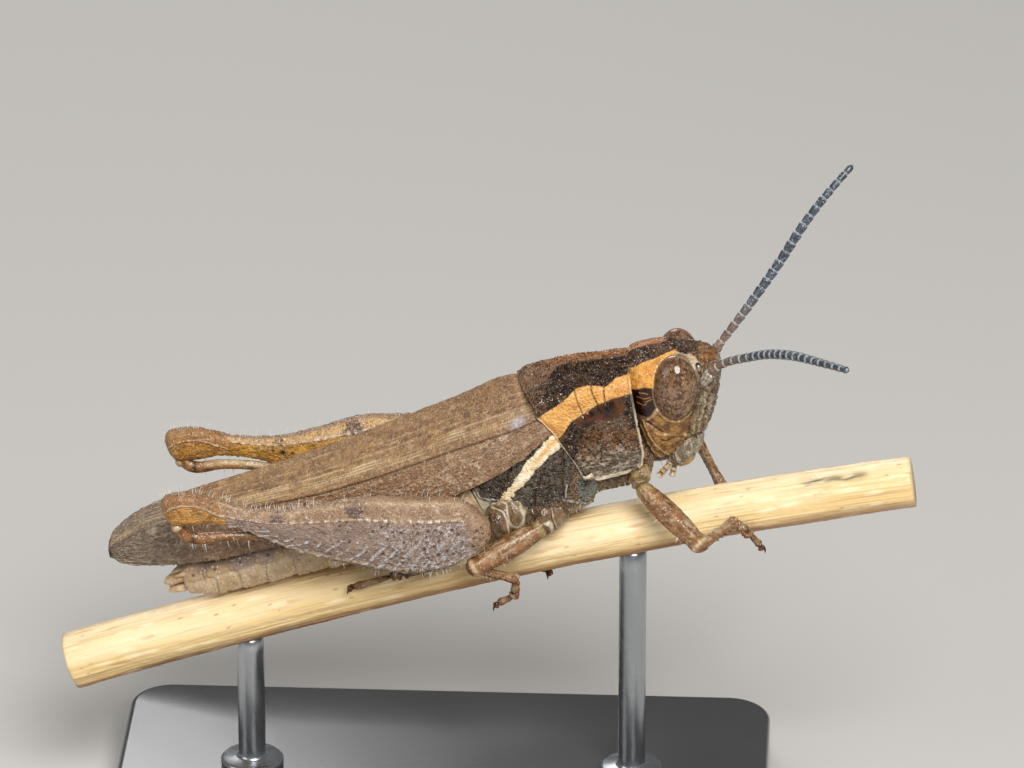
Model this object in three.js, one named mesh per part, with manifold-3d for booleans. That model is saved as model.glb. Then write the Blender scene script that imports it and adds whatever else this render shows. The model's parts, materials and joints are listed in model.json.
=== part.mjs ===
// Grasshopper gripping a cut length of dry stem, held up by a plain display stand.
// Millimetres, +Z up. The origin is the middle of the base's underside, +X runs towards
// the head and +Y towards the animal's left.
//
// The animal is laid out in a body frame of its own: x forward from the middle of the
// abdomen's front, y to the left, z up from the line of the belly. One group tips that
// frame nose up, so that the belly lies along the stem.

import * as THREE from 'three';
import { mergeVertices } from 'three/addons/utils/BufferGeometryUtils.js';
import Module from 'manifold-3d';

const wasm = await Module();
wasm.setup();

// ---------------------------------------------------------------- driving dimensions

const GAP = 0.04;                 // clear space left between neighbouring pieces
const LIMB = 0.25;                // least half thickness of legs, feelers and wings

const BODY_PITCH = 15;            // degrees, nose up
const BELLY_HEIGHT = 10.9;        // height of the body frame's origin above the floor

const BASE = { length: 24, width: 13, height: 1.5, corner: 1.6, bevel: 0.25 };
const ROD = { radius: 0.5, reach: 7.0, tallest: 14.9 };
const STEM = {
  rear: [-13.6, 5.64],            // x and z of the centre line
  crown: [3.03, 11.35],           // control point that sets the arch
  front: [17.1, 13.7],
  rearRadius: 1.02,
  frontRadius: 0.92,
};

const HEAD_TOP = 5.95;
const HEAD_LOW = 1.62;
const EYE = { centre: [10.0, 1.14, 4.42], half: [0.81, 0.76, 1.285], lean: 15 };
const FEELER = { base: 0.27, middle: 0.29, tip: 0.25 };

const PRONOTUM_TOP = 6.05;
const PRONOTUM_LOW = 1.0;         // lowest reach of the saddle before its margin is cut
const THORAX_WIDTH = 1.62;        // half width
const ABDOMEN_TIP = -10.15;

const WING_THICKNESS = 0.5;
const WING_FOLD = 0.45;           // share of a fore wing's breadth that lies above its fold
const WING_SEAM = 0.02;           // half the gap between the two fore wings at the ridge
const HINDWING = { depth: 0.66, start: 0.38, run: 0.55, breadth: 0.4 };

// ---------------------------------------------------------------- finishes

const finish = (color, roughness, metalness = 0) =>
  new THREE.MeshStandardMaterial({ color, roughness, metalness });

const SHELL = finish('#6f5a45', 0.6);
const FACE = finish('#8a7557', 0.55);
const EYE_COAT = finish('#6b5445', 0.2);
const FEELER_COAT = finish('#3b4048', 0.5);
const WING = finish('#7d6751', 0.65);
const BELLY = finish('#c9b493', 0.6);
const LEG = finish('#9a6a3c', 0.45);
const STRAW = finish('#d8b06a', 0.7);
const PLATE = finish('#e4e1da', 0.5);
const STEEL = finish('#b9bcc0', 0.25, 1);

// ---------------------------------------------------------------- shaping helpers

/** A three.js geometry as a manifold-3d solid. */
function solidOf(geometry) {
  const bare = geometry.index ? geometry.toNonIndexed() : geometry.clone();
  bare.deleteAttribute('normal');
  bare.deleteAttribute('uv');
  const merged = mergeVertices(bare, 1e-5);
  return new wasm.Manifold(new wasm.Mesh({
    numProp: 3,
    vertProperties: new Float32Array(merged.attributes.position.array),
    triVerts: new Uint32Array(merged.index.array),
  }));
}

/** The biggest single body of a solid, as a three.js geometry. */
function geometryOf(solid) {
  const bodies = solid.decompose();
  const main = bodies.reduce((best, body) => (body.volume() > best.volume() ? body : best));
  const mesh = main.getMesh();
  const points = new Float32Array(mesh.numVert * 3);
  for (let i = 0; i < mesh.numVert; i += 1) {
    for (let k = 0; k < 3; k += 1) {
      points[3 * i + k] = mesh.vertProperties[mesh.numProp * i + k];
    }
  }
  const geometry = new THREE.BufferGeometry();
  geometry.setAttribute('position', new THREE.BufferAttribute(points, 3));
  geometry.setIndex(Array.from(mesh.triVerts));
  geometry.computeVertexNormals();
  return geometry;
}

/** Smooth reading of rows of numbers, spaced by the distance between their first three. */
function readRows(rows) {
  const knots = [0];
  for (let i = 1; i < rows.length; i += 1) {
    const step = Math.hypot(...[0, 1, 2].map((k) => rows[i][k] - rows[i - 1][k]));
    knots.push(knots[i - 1] + step);
  }
  const slope = (i, k) => (rows[i + 1][k] - rows[i][k]) / (knots[i + 1] - knots[i]);
  const tangent = (i, k) => {
    if (i === 0) return slope(0, k);
    if (i === rows.length - 1) return slope(i - 1, k);
    const before = knots[i] - knots[i - 1];
    const after = knots[i + 1] - knots[i];
    return (slope(i, k) * before + slope(i - 1, k) * after) / (before + after);
  };
  return (share) => {
    const place = share * knots[knots.length - 1];
    let i = 0;
    while (i < rows.length - 2 && place > knots[i + 1]) i += 1;
    const span = knots[i + 1] - knots[i];
    const t = Math.min(1, Math.max(0, (place - knots[i]) / span));
    return rows[i].map((value, k) => {
      const a = 2 * t ** 3 - 3 * t ** 2 + 1;
      const b = t ** 3 - 2 * t ** 2 + t;
      const c = 3 * t ** 2 - 2 * t ** 3;
      const d = t ** 3 - t ** 2;
      return a * value + b * span * tangent(i, k) + c * rows[i + 1][k]
        + d * span * tangent(i + 1, k);
    });
  };
}

/** Section outline: an oval whose corners fill out as power rises above 2. */
const oval = (power) => (angle) => [Math.cos(angle), Math.sin(angle)]
  .map((v) => Math.sign(v) * Math.abs(v) ** (2 / power));

/** Section outline drawn through a few [across, up] points of its right half, top first. */
function mirroredOutline(half) {
  const left = half.slice(1, -1).reverse().map(([across, up]) => [-across, up]);
  const points = [...half, ...left].map(([across, up]) => new THREE.Vector3(across, up, 0));
  const loop = new THREE.CatmullRomCurve3(points, true, 'centripetal');
  return (angle) => {
    const turn = (0.25 - angle / (2 * Math.PI) + 2) % 1;
    const point = loop.getPointAt(turn);
    return [point.x, point.y];
  };
}

const ROUND = oval(2);

/**
 * Closed solid through sections along a path.
 * rows: [x, y, z, half across, half up] for each section.
 * up: the direction that a section's own "up" leans to.
 * level: sections lie flat instead of square to the path.
 * grow: how much bigger than its true size it is made, for cutting a neighbour clear.
 */
function loft(
  { rows, sides, steps, up = [0, 0, 1], outline = ROUND, level = false },
  grow = 0,
) {
  const read = readRows(rows);
  const geometry = new THREE.CylinderGeometry(1, 1, 1, sides, steps);
  const position = geometry.attributes.position;
  const upward = new THREE.Vector3(...up);
  const ahead = new THREE.Vector3();
  const across = new THREE.Vector3();
  const rise = new THREE.Vector3();
  const point = new THREE.Vector3();
  const nudge = 0.002;
  for (let i = 0; i < position.count; i += 1) {
    const share = 0.5 - position.getY(i);
    const near = read(Math.max(0, share - nudge));
    const far = read(Math.min(1, share + nudge));
    ahead.set(far[0] - near[0], far[1] - near[1], far[2] - near[2]).normalize();
    if (level) {
      ahead.set(0, 0, 1);
    }
    across.crossVectors(upward, ahead).normalize();
    rise.crossVectors(ahead, across);
    const row = read(share);
    point.set(row[0], row[1], row[2]);
    const atEnd = share < 1e-6 ? -1 : Number(share > 1 - 1e-6);
    point.addScaledVector(ahead, atEnd * grow);
    const reach = Math.hypot(position.getX(i), position.getZ(i));
    if (reach > 0.5) {
      const turn = Math.atan2(position.getZ(i), position.getX(i));
      const [a, b] = outline(turn);
      point.addScaledVector(across, a * (row[3] + grow));
      point.addScaledVector(rise, b * (row[4] + grow));
    }
    position.setXYZ(i, point.x, point.y, point.z);
  }
  return solidOf(geometry);
}

/** Flat outline of [x, z] points pushed out to both sides of the body's middle plane. */
function sideCutter(points, halfWidth) {
  const shape = new THREE.Shape(points.map(([x, z]) => new THREE.Vector2(x, z)));
  const geometry = new THREE.ExtrudeGeometry(shape, {
    depth: 2 * halfWidth, bevelEnabled: false,
  });
  geometry.translate(0, 0, -halfWidth);
  geometry.rotateX(Math.PI / 2);
  return solidOf(geometry);
}

/** Thin plate: place(u, v, s) gives a point, with s 0 on the outer face and 1 inside. */
function plate({ along, across, place }) {
  const geometry = new THREE.BoxGeometry(1, 1, 1, along, across, 1);
  const position = geometry.attributes.position;
  for (let i = 0; i < position.count; i += 1) {
    const [x, y, z] = place(
      position.getX(i) + 0.5,
      position.getY(i) + 0.5,
      position.getZ(i) + 0.5,
    );
    position.setXYZ(i, x, y, z);
  }
  return solidOf(geometry);
}

const mirrorRows = (rows, side) => rows.map(([x, y, ...rest]) => [x, side * y, ...rest]);

const SIDES = { right: -1, left: 1 };

// ---------------------------------------------------------------- the pieces
// make(grow) builds a piece at its true size plus grow all over. A piece is cut clear of
// each piece that its cutBy list names.

const pieces = new Map();

function piece(name, material, make, cutBy = []) {
  pieces.set(name, { material, make, cutBy });
}

// ---- head

const HEAD_OUTLINE = mirroredOutline([
  [0, 1], [0.5, 0.93], [0.86, 0.55], [1, -0.05], [0.95, -0.65], [0.62, -0.97], [0, -1],
]);

/** Level slice of the head: front and back x, half width, height. */
const headSlice = (front, back, half, z) =>
  [(front + back) / 2, 0, z, half, (front - back) / 2];

piece('head', FACE, (grow) => loft({
  rows: [
    headSlice(9.1, 8.55, 0.5, HEAD_LOW),
    headSlice(9.5, 8.48, 0.9, 1.8),
    headSlice(10.05, 8.4, 1.12, 2.08),
    headSlice(10.6, 8.33, 1.24, 2.4),
    headSlice(11.16, 8.25, 1.4, 3.35),
    headSlice(11.49, 8.25, 1.42, 4.2),
    headSlice(11.57, 8.25, 1.34, 4.8),
    headSlice(11.42, 8.3, 1.22, 5.08),
    headSlice(11.05, 8.4, 1.08, 5.3),
    headSlice(10.7, 8.42, 0.82, 5.5),
    headSlice(10.3, 8.5, 0.6, 5.7),
    headSlice(9.98, 8.72, 0.36, HEAD_TOP - 0.08),
    headSlice(9.72, 9.0, 0.16, HEAD_TOP),
  ],
  sides: 12, steps: 11, up: [1, 0, 0], outline: HEAD_OUTLINE, level: true,
}, grow), ['pronotum', 'eye_right', 'eye_left', 'clypeus_labrum',
  'mandible_right', 'mandible_left']);

piece('clypeus_labrum', FACE, (grow) => loft({
  rows: [
    [10.16, 0, 2.2, 0.6, 0.24], [9.98, 0, 1.76, 0.64, 0.26], [9.78, 0, 1.5, 0.55, 0.22],
    [9.54, 0, 1.28, 0.6, 0.26], [9.24, 0, 1.07, 0.3, 0.12],
  ],
  sides: 12, steps: 6, up: [1, 0, -0.6], outline: oval(3),
}, grow));

for (const [hand, side] of Object.entries(SIDES)) {
  piece(`mandible_${hand}`, FACE, (grow) => loft({
    rows: mirrorRows([
      [10.08, 0.74, 2.3, 0.24, 0.14], [9.96, 0.8, 2.16, 0.3, 0.22],
      [9.55, 0.8, 1.78, 0.32, 0.3], [9.34, 0.74, 1.58, 0.28, 0.26],
      [9.14, 0.64, 1.4, 0.16, 0.14],
    ], side),
    sides: 10, steps: 5, up: [1, 0, -1], outline: oval(2.6),
  }, grow), ['clypeus_labrum']);

  const maxillary = {
    rows: mirrorRows([
      [9.05, 0.66, 1.42, LIMB, LIMB], [8.84, 0.86, 1.22, LIMB, LIMB],
      [8.68, 0.96, 1.08, LIMB, LIMB], [8.52, 1.0, 0.96, 0.17, 0.17],
    ], side),
    sides: 5, steps: 4, up: [1, 0, 0],
  };
  const labial = {
    rows: mirrorRows([
      [9.14, 0.5, 1.34, LIMB, LIMB], [9.08, 0.62, 1.1, LIMB, LIMB],
      [9.0, 0.74, 0.9, 0.19, 0.19],
    ], side),
    sides: 5, steps: 3, up: [1, 0, 0],
  };
  piece(`palps_${hand}`, FACE,
    (grow) => loft(maxillary, grow).add(loft(labial, grow)),
    ['head', `mandible_${hand}`, 'clypeus_labrum', 'thorax', 'pronotum']);

  piece(`eye_${hand}`, EYE_COAT, (grow) => {
    const geometry = new THREE.SphereGeometry(1, 10, 8);
    geometry.scale(...EYE.half.map((half) => half + grow));
    geometry.rotateY(THREE.MathUtils.degToRad(EYE.lean));
    geometry.translate(EYE.centre[0], side * EYE.centre[1], EYE.centre[2]);
    return solidOf(geometry);
  });
}

const feelerRows = (points) => points.map((point, i) => {
  const share = i / (points.length - 1);
  const thick = share < 0.5
    ? FEELER.base + (FEELER.middle - FEELER.base) * 2 * share
    : FEELER.middle + (FEELER.tip - FEELER.middle) * (2 * share - 1);
  return [...point, thick, thick];
});

const FEELER_PATHS = {
  right: [[11.0, -1.0, 4.36], [11.58, -1.2, 4.86], [13.07, -2.0, 5.35], [14.54, -3.7, 5.87],
    [15.93, -5.4, 6.0], [16.84, -6.4, 5.97]],
  left: [[11.05, 0.8, 4.3], [11.6, 0.85, 4.78], [12.92, 1.4, 5.76], [14.33, 2.2, 6.83],
    [15.67, 2.9, 7.97], [16.82, 3.5, 8.75], [17.66, 4.0, 9.21]],
};
for (const [hand, path] of Object.entries(FEELER_PATHS)) {
  piece(`antenna_${hand}`, FEELER_COAT, (grow) => loft({
    rows: feelerRows(path), sides: 6, steps: 12,
  }, grow), ['head', `eye_${hand}`]);
}

// ---- pronotum: a saddle whose top is a low roof and whose sides hang over the thorax

/** Upright section of the trunk: x, top and bottom height, half width. */
const trunk = (x, top, bottom, half) => [x, 0, (top + bottom) / 2, half, (top - bottom) / 2];

const PRONOTUM_OUTLINE = mirroredOutline([
  [0, 1], [0.42, 0.87], [0.86, 0.72], [0.97, 0.5], [1, -0.1], [0.97, -0.7], [0.88, -1],
  [0, -1],
]);
const PRONOTUM_SIDE = [
  [9.06, 6.6], [9.0, 5.85], [8.5, 5.35], [8.42, 4.6], [8.26, 2.35], [8.1, 1.95], [7.75, 1.8],
  [6.25, 1.76], [5.98, 1.95], [5.85, 2.5], [5.4, 3.9], [5.1, 4.5], [4.8, 4.72], [4.2, 4.8],
  [4.2, 6.6],
];
const DISC_REAR = [
  [3.8, -2.4], [3.8, 2.4], [5.15, 2.4], [5.1, 1.7], [4.65, 0.8], [4.45, 0], [4.65, -0.8],
  [5.1, -1.7], [5.15, -2.4],
];

piece('pronotum', SHELL, (grow) => {
  const row = (x, top, half) => trunk(x, top, PRONOTUM_LOW, half);
  const whole = loft({
    rows: [
      row(9.3, PRONOTUM_TOP - 0.39, 1.45), row(8.2, PRONOTUM_TOP - 0.21, 1.52),
      row(7.0, PRONOTUM_TOP - 0.07, 1.6), row(6.0, PRONOTUM_TOP, 1.72),
      row(5.0, PRONOTUM_TOP - 0.05, 1.86), row(4.1, PRONOTUM_TOP - 0.12, 1.9),
    ],
    sides: 20, steps: 5, outline: PRONOTUM_OUTLINE,
  }, grow);
  const shape = new THREE.Shape(DISC_REAR.map(([x, y]) => new THREE.Vector2(x - grow, y)));
  const behind = new THREE.ExtrudeGeometry(shape, { depth: 4, bevelEnabled: false });
  behind.translate(0, 0, 4.4);
  const side = PRONOTUM_SIDE.map(([x, z]) => {
    const back = x < 6.2 ? -grow : 0;
    const front = x > 8.2 ? grow : 0;
    const down = z < 5.2 && x < 8.2 ? -grow : 0;
    return [x + back + front, z + down];
  });
  return whole.intersect(sideCutter(side, 3)).subtract(solidOf(behind));
});

// ---- thorax and abdomen

const BODY_OUTLINE = mirroredOutline([
  [0, 1], [0.6, 0.86], [0.94, 0.45], [1, 0], [0.93, -0.5], [0.6, -0.9], [0, -1],
]);

piece('thorax', SHELL, (grow) => loft({
  rows: [
    trunk(8.45, 2.3, 0.9, 0.75), trunk(7.7, 3.2, 0.65, 1.1), trunk(6.6, 4.6, 0.42, 1.4),
    trunk(5.4, 5.2, 0.22, THORAX_WIDTH), trunk(4.0, 5.15, 0.12, THORAX_WIDTH),
    trunk(2.9, 4.85, 0.1, THORAX_WIDTH - 0.08), trunk(1.9, 4.5, 0.12, 1.45),
  ],
  sides: 12, steps: 7, outline: BODY_OUTLINE,
}, grow), ['pronotum', 'tegmen_right', 'tegmen_left', 'head']);

const ABDOMEN_ROWS = [
  trunk(1.86, 4.1, 0.12, 1.42), trunk(0, 3.22, 0.1, 1.42), trunk(-2, 2.8, 0.1, 1.4),
  trunk(-4, 2.55, 0.1, 1.3), trunk(-6, 2.32, 0.04, 1.15), trunk(-7.8, 1.98, -0.04, 0.95),
  trunk(-9.0, 1.56, 0.02, 0.7), trunk(-9.7, 1.2, 0.18, 0.48), trunk(ABDOMEN_TIP, 0.92, 0.42, 0.2),
];
const ABDOMEN_LENGTHS = {
  abdomen_front: [1.86, -2.4], abdomen_middle: [-2.44, -5.9], abdomen_rear: [-5.94, -8.7],
  abdomen_tip: [-8.74, -11],
};
for (const [name, [front, back]] of Object.entries(ABDOMEN_LENGTHS)) {
  piece(name, BELLY, (grow) => {
    const whole = loft({
      rows: ABDOMEN_ROWS, sides: 12, steps: 9, outline: BODY_OUTLINE,
    }, grow);
    const slab = new THREE.BoxGeometry(front - back, 6, 8);
    slab.translate((front + back) / 2, 0, 2);
    return whole.intersect(solidOf(slab));
  }, ['thorax', 'tegmen_right', 'tegmen_left', 'hindwings_folded', 'hind_tibia_right',
    'hind_tibia_left']);
}

// ---- wings: each fore wing is a bent plate from the ridge of the back, over the fold
// line of the shoulder, down to the lower edge

// x, ridge height, then y and z of the fold line, then y and z of the lower edge
const TEGMEN_ROWS = [
  [5.4, 5.62, 1.5, 4.62, 1.6, 3.95],
  [4.0, 5.84, 1.72, 4.42, 1.84, 3.26],
  [2.0, 5.45, 1.76, 4.22, 1.87, 2.6],
  [-0.5, 5.05, 1.7, 3.87, 1.8, 2.2],
  [-3.0, 4.66, 1.55, 3.58, 1.66, 1.95],
  [-6.0, 4.3, 1.28, 3.45, 1.36, 1.76],
  [-8.8, 4.0, 0.92, 3.38, 1.0, 1.68],
  [-10.4, 3.72, 0.66, 3.2, 0.7, 1.8],
  [-11.2, 3.36, 0.54, 2.95, 0.56, 1.98],
  [-11.8, 2.8, 0.42, 2.62, 0.43, 2.4],
].map(([x, ...rest]) => [x, 0, 0, ...rest]);
const readTegmen = readRows(TEGMEN_ROWS);

/** Outer face of the left fore wing: u from base to tip, v from ridge to lower edge. */
function tegmenFace(u, v) {
  const [x, , , ridge, foldY, foldZ, lowY, lowZ] = readTegmen(u);
  if (v < WING_FOLD) {
    const t = v / WING_FOLD;
    const swell = 0.07 * Math.sin(Math.PI * t) * (foldY - WING_SEAM);
    return [x, WING_SEAM + (foldY - WING_SEAM) * t + swell / 2, ridge + (foldZ - ridge) * t + swell];
  }
  const t = (v - WING_FOLD) / (1 - WING_FOLD);
  const bulge = 0.06 * Math.sin(Math.PI * t);
  return [x, foldY + (lowY - foldY) * t + bulge, foldZ + (lowZ - foldZ) * t];
}

/** Thickness of a fore wing at u: full, and less where its tip narrows. */
function tegmenThickness(u) {
  const [, , , ridge, foldY, , , lowZ] = readTegmen(u);
  return Math.min(WING_THICKNESS, 0.8 * foldY, 0.55 * (ridge - lowZ));
}

for (const [hand, side] of Object.entries(SIDES)) {
  piece(`tegmen_${hand}`, WING, (grow) => plate({
    along: 12,
    across: 5,
    place: (u, v, s) => {
      const face = side > 0 ? 1 - s : s;
      const [x, y, z] = tegmenFace(u, v);
      const turn = THREE.MathUtils.smoothstep(v, 0.05, 0.75);
      const depth = face > 0.5 ? -grow : tegmenThickness(u) + grow;
      const inY = Math.max(WING_SEAM - grow, y - depth * turn);
      const inZ = z - depth * (1.15 - turn) - (v > 0.99 ? grow : 0);
      return [x - (u > 0.99 ? grow : 0), side * inY, inZ];
    },
  }), ['pronotum']);
}

piece('hindwings_folded', WING, (grow) => plate({
  along: 7,
  across: 4,
  place: (u, v, s) => {
    const out = 2 * v - 1;
    const [x, y, z] = tegmenFace(
      HINDWING.start + HINDWING.run * u, HINDWING.breadth * Math.abs(out),
    );
    const below = HINDWING.depth + 0.06 + s * WING_THICKNESS;
    const half = Math.max(0.12, y - HINDWING.depth);
    return [x, out * half, z - below + grow * (0.5 - s)];
  },
}), ['tegmen_right', 'tegmen_left']);

// ---- legs

const HIND_FEMUR = [
  [2.15, 2.15, 1.05, 0.4, 0.45], [1.85, 2.28, 1.14, 0.52, 0.76], [1.2, 2.42, 1.36, 0.6, 1.16],
  [0.16, 2.5, 1.47, 0.64, 1.4], [-0.9, 2.52, 1.71, 0.64, 1.44],
  [-2.16, 2.54, 2.15, 0.6, 1.32], [-3.3, 2.58, 2.49, 0.54, 1.08],
  [-4.3, 2.63, 2.81, 0.46, 0.82], [-5.3, 2.68, 3.22, 0.4, 0.54],
  [-6.1, 2.72, 3.63, 0.35, 0.37], [-6.75, 2.75, 3.95, 0.33, 0.36],
  [-7.6, 2.78, 4.37, 0.37, 0.52], [-8.3, 2.8, 4.62, 0.41, 0.66],
  [-8.8, 2.82, 4.72, 0.41, 0.64], [-9.08, 2.82, 4.72, 0.34, 0.55],
  [-9.2, 2.82, 4.71, 0.2, 0.34],
];
const HIND_COXA = { root: [3.2, 0.8, 1.1], hip: [2.3, 2.0, 0.95] };
// the left hind leg is held higher and wider than the right one towards its hip
const LEFT_HIND = { lift: 0.7, spread: 0.45, knee: -8.5, run: 6.5 };
// how far forward each knee is drawn, and the stretch over which that comes in
const KNEE_REACH = { right: 0.34, left: -0.06, from: -4.5, run: 3 };
const LEFT_SHIN_TUCK = 0.3;       // how much closer the left shin lies to its thigh

function hindRows(rows, side) {
  const reach = side > 0 ? KNEE_REACH.left : KNEE_REACH.right;
  return rows.map(([x, y, z, ...sizes]) => {
    const share = side > 0 ? THREE.MathUtils.clamp((x - LEFT_HIND.knee) / LEFT_HIND.run, 0, 1) : 0;
    const bend = THREE.MathUtils.clamp((KNEE_REACH.from - x) / KNEE_REACH.run, 0, 1);
    return [x + bend * reach, side * (y + LEFT_HIND.spread * share),
      z + LEFT_HIND.lift * share, ...sizes];
  });
}

/** Rows of a shin; the left one lies closer to its thigh near the knee. */
function shinRows(rows, side) {
  const tuck = side > 0 ? LEFT_SHIN_TUCK : 0;
  return hindRows(rows, side).map(([x, y, z, ...sizes]) =>
    [x, y, z + tuck * THREE.MathUtils.smoothstep(-x, 5.5, 7.5), ...sizes]);
}

const HIND_TIBIA = [
  [-8.95, 2.8, 4.05, LIMB, LIMB], [-8.65, 2.76, 3.56, LIMB, LIMB + 0.03],
  [-7.4, 2.66, 3.2, LIMB, LIMB], [-6.2, 2.55, 2.92, LIMB, LIMB],
  [-5.0, 2.3, 2.4, LIMB, LIMB], [-3.6, 2.05, 1.72, LIMB, LIMB],
  [-1.8, 1.9, 0.8, LIMB, LIMB], [-0.1, 1.86, 0.12, LIMB + 0.03, LIMB + 0.03],
];
const HIND_CLAW_ROOT = [-3.62, 1.2, -0.52];
const HIND_TARSUS = [
  [-0.05, 1.7, -0.16, LIMB, LIMB], [-0.5, 1.52, -0.28, LIMB, LIMB],
  [-1.6, 1.32, -0.36, LIMB, LIMB], [-2.7, 1.26, -0.46, LIMB, LIMB],
  [-3.5, 1.24, -0.5, 0.2, 0.2],
];

// joint centres of the four walking legs: y is the distance out from the middle plane
const WALKING_LEGS = {
  fore_right: {
    root: [7.85, 0.7, 1.55], hip: [7.82, 1.32, 1.0], knee: [9.6, 2.9, -1.08],
    ankle: [10.78, 1.26, -1.15], foot: [11.12, 1.2, -1.75], toe: [11.4, 0.95, -2.5],
  },
  fore_left: {
    root: [7.85, 0.7, 1.55], hip: [7.85, 1.35, 1.0], knee: [9.62, 3.15, 0.32],
    ankle: [10.3, 1.3, -0.9], foot: [10.62, 1.22, -1.5], toe: [10.95, 1.0, -2.3],
  },
  middle_right: {
    root: [4.9, 0.7, 0.7], hip: [4.05, 1.62, 0.4], knee: [1.3, 2.66, -0.14],
    ankle: [2.5, 1.36, -1.5], foot: [2.3, 1.22, -2.1], toe: [1.52, 0.98, -2.5],
  },
  middle_left: {
    root: [4.9, 0.7, 0.7], hip: [4.05, 1.62, 0.4], knee: [1.45, 2.7, -0.2],
    ankle: [2.75, 1.36, -1.4], foot: [2.9, 1.22, -2.0], toe: [3.3, 1.0, -2.6],
  },
};

const between = (a, b, share) => a.map((value, k) => value + (b[k] - value) * share);

/** Rows of a limb of one stretch: thickness read from [share, half thickness] pairs. */
const limbRows = (from, to, sizes) => sizes.map(([share, half]) =>
  [...between(from, to, share), half, half * 1.08]);

/** Foot: three pads along a bend, ending in a pair of claws. */
function tarsus({ ankle, foot, toe }, grow) {
  const last = between(foot, toe, 0.8);
  const main = loft({
    rows: [
      [...ankle, LIMB, LIMB], [...between(ankle, foot, 0.6), 0.27, 0.27],
      [...foot, LIMB, LIMB], [...last, LIMB - 0.03, LIMB - 0.03], [...toe, 0.18, 0.18],
    ],
    sides: 6, steps: 4, up: [0.3, 1, 0.2],
  }, grow);
  return [-1, 1].reduce((whole, hand) => {
    const out = [toe[0] + 0.1 * hand, toe[1] + 0.3 * hand, toe[2] - 0.06];
    const tip = [toe[0] + 0.3 * (toe[0] > foot[0] ? 1 : -1), out[1] + 0.06 * hand, toe[2] - 0.2];
    return whole.add(loft({
      rows: [[...last, 0.16, 0.16], [...out, 0.15, 0.15], [...tip, 0.05, 0.05]],
      sides: 4, steps: 2, up: [0.3, 0.2, 1],
    }, grow));
  }, main);
}

for (const [name, joints] of Object.entries(WALKING_LEGS)) {
  const side = SIDES[name.split('_')[1]];
  const at = Object.fromEntries(Object.entries(joints)
    .map(([joint, [x, y, z]]) => [joint, [x, side * y, z]]));
  piece(`${name}_coxa`, LEG, (grow) => loft({
    rows: limbRows(at.root, at.hip, [[0, 0.42], [0.5, 0.43], [0.85, 0.36], [1, 0.28]]),
    sides: 8, steps: 4, up: [1, 0, 0],
  }, grow), ['thorax', 'pronotum', 'head']);
  piece(`${name}_femur`, LEG, (grow) => loft({
    rows: limbRows(at.hip, at.knee,
      [[0, 0.3], [0.15, 0.42], [0.45, 0.5], [0.75, 0.43], [0.93, 0.42], [1.04, 0.26]]),
    sides: 8, steps: 6, up: [0.3, 0, 1],
  }, grow), [`${name}_coxa`, 'thorax', 'pronotum',
    `hind_femur_${name.split('_')[1]}`, 'stem_guard']);
  piece(`${name}_tibia`, LEG, (grow) => loft({
    rows: limbRows(at.knee, at.ankle, [[0, LIMB], [0.3, LIMB], [0.7, LIMB], [1, LIMB + 0.03]]),
    sides: 8, steps: 4, up: [0.3, 0, 1],
  }, grow), [`${name}_femur`, 'stem_guard']);
  piece(`${name}_tarsus`, LEG, (grow) => tarsus(at, grow),
    [`${name}_tibia`, 'stem_guard']);
}

for (const [hand, side] of Object.entries(SIDES)) {
  const [hip] = hindRows([HIND_COXA.hip], side);
  const [root] = mirrorRows([HIND_COXA.root], side);
  piece(`hind_coxa_${hand}`, LEG, (grow) => loft({
    rows: limbRows(root, hip,
      [[0, 0.66], [0.5, 0.64], [0.85, 0.52], [1, 0.38]]),
    sides: 8, steps: 3,
  }, grow), ['thorax', `middle_${hand}_coxa`, `middle_${hand}_femur`]);
  piece(`hind_femur_${hand}`, LEG, (grow) => loft({
    rows: hindRows(HIND_FEMUR, side), sides: 10, steps: 11, outline: oval(2.4),
  }, grow), [`hind_tibia_${hand}`, `hind_coxa_${hand}`]);
  piece(`hind_tibia_${hand}`, LEG, (grow) => loft({
    rows: shinRows(HIND_TIBIA, side), sides: 7, steps: 8,
  }, grow));
  piece(`hind_tarsus_${hand}`, LEG, (grow) => {
    const [toe] = mirrorRows([HIND_CLAW_ROOT], side);
    const claw = (spread) => loft({
      rows: [[toe[0] + 0.3, toe[1], toe[2], 0.14, 0.14],
        [toe[0] - 0.05, toe[1] + spread * 0.16, toe[2] + spread * 0.1, 0.14, 0.14],
        [toe[0] - 0.22, toe[1] + spread * 0.2, toe[2] - 0.08, 0.05, 0.05]],
      sides: 4, steps: 2,
    }, grow);
    const rows = mirrorRows(HIND_TARSUS, side);
    rows[0] = hindRows(HIND_TARSUS, side)[0];
    return loft({ rows, sides: 6, steps: 5 }, grow)
      .add(claw(1)).add(claw(-1));
  }, [`hind_tibia_${hand}`, `hind_femur_${hand}`, 'stem_guard', 'abdomen_front',
    'abdomen_middle']);
}

// ---------------------------------------------------------------- perch and stand

const stemCurve = new THREE.QuadraticBezierCurve3(
  ...[STEM.rear, STEM.crown, STEM.front].map(([x, z]) => new THREE.Vector3(x, 0, z)),
);
const STEM_STATIONS = 7;

/** The stem in the stand's upright frame. */
function makeStem(grow) {
  const rows = Array.from({ length: STEM_STATIONS }, (_, i) => {
    const share = i / (STEM_STATIONS - 1);
    const point = stemCurve.getPoint(share);
    const radius = THREE.MathUtils.lerp(STEM.rearRadius, STEM.frontRadius, share);
    return [point.x, point.y, point.z, radius, radius];
  });
  return loft({ rows, sides: 13, steps: 8 }, grow);
}

const pitch = THREE.MathUtils.degToRad(-BODY_PITCH);
const bodyFrame = new THREE.Group();
bodyFrame.position.set(0, 0, BELLY_HEIGHT);
bodyFrame.rotation.y = pitch;
bodyFrame.updateMatrixWorld(true);

/** The stem as the animal's own frame sees it, for cutting feet clear of it. */
function stemGuard(grow) {
  const inverse = bodyFrame.matrixWorld.clone().invert();
  return makeStem(grow).transform(inverse.toArray());
}

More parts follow.
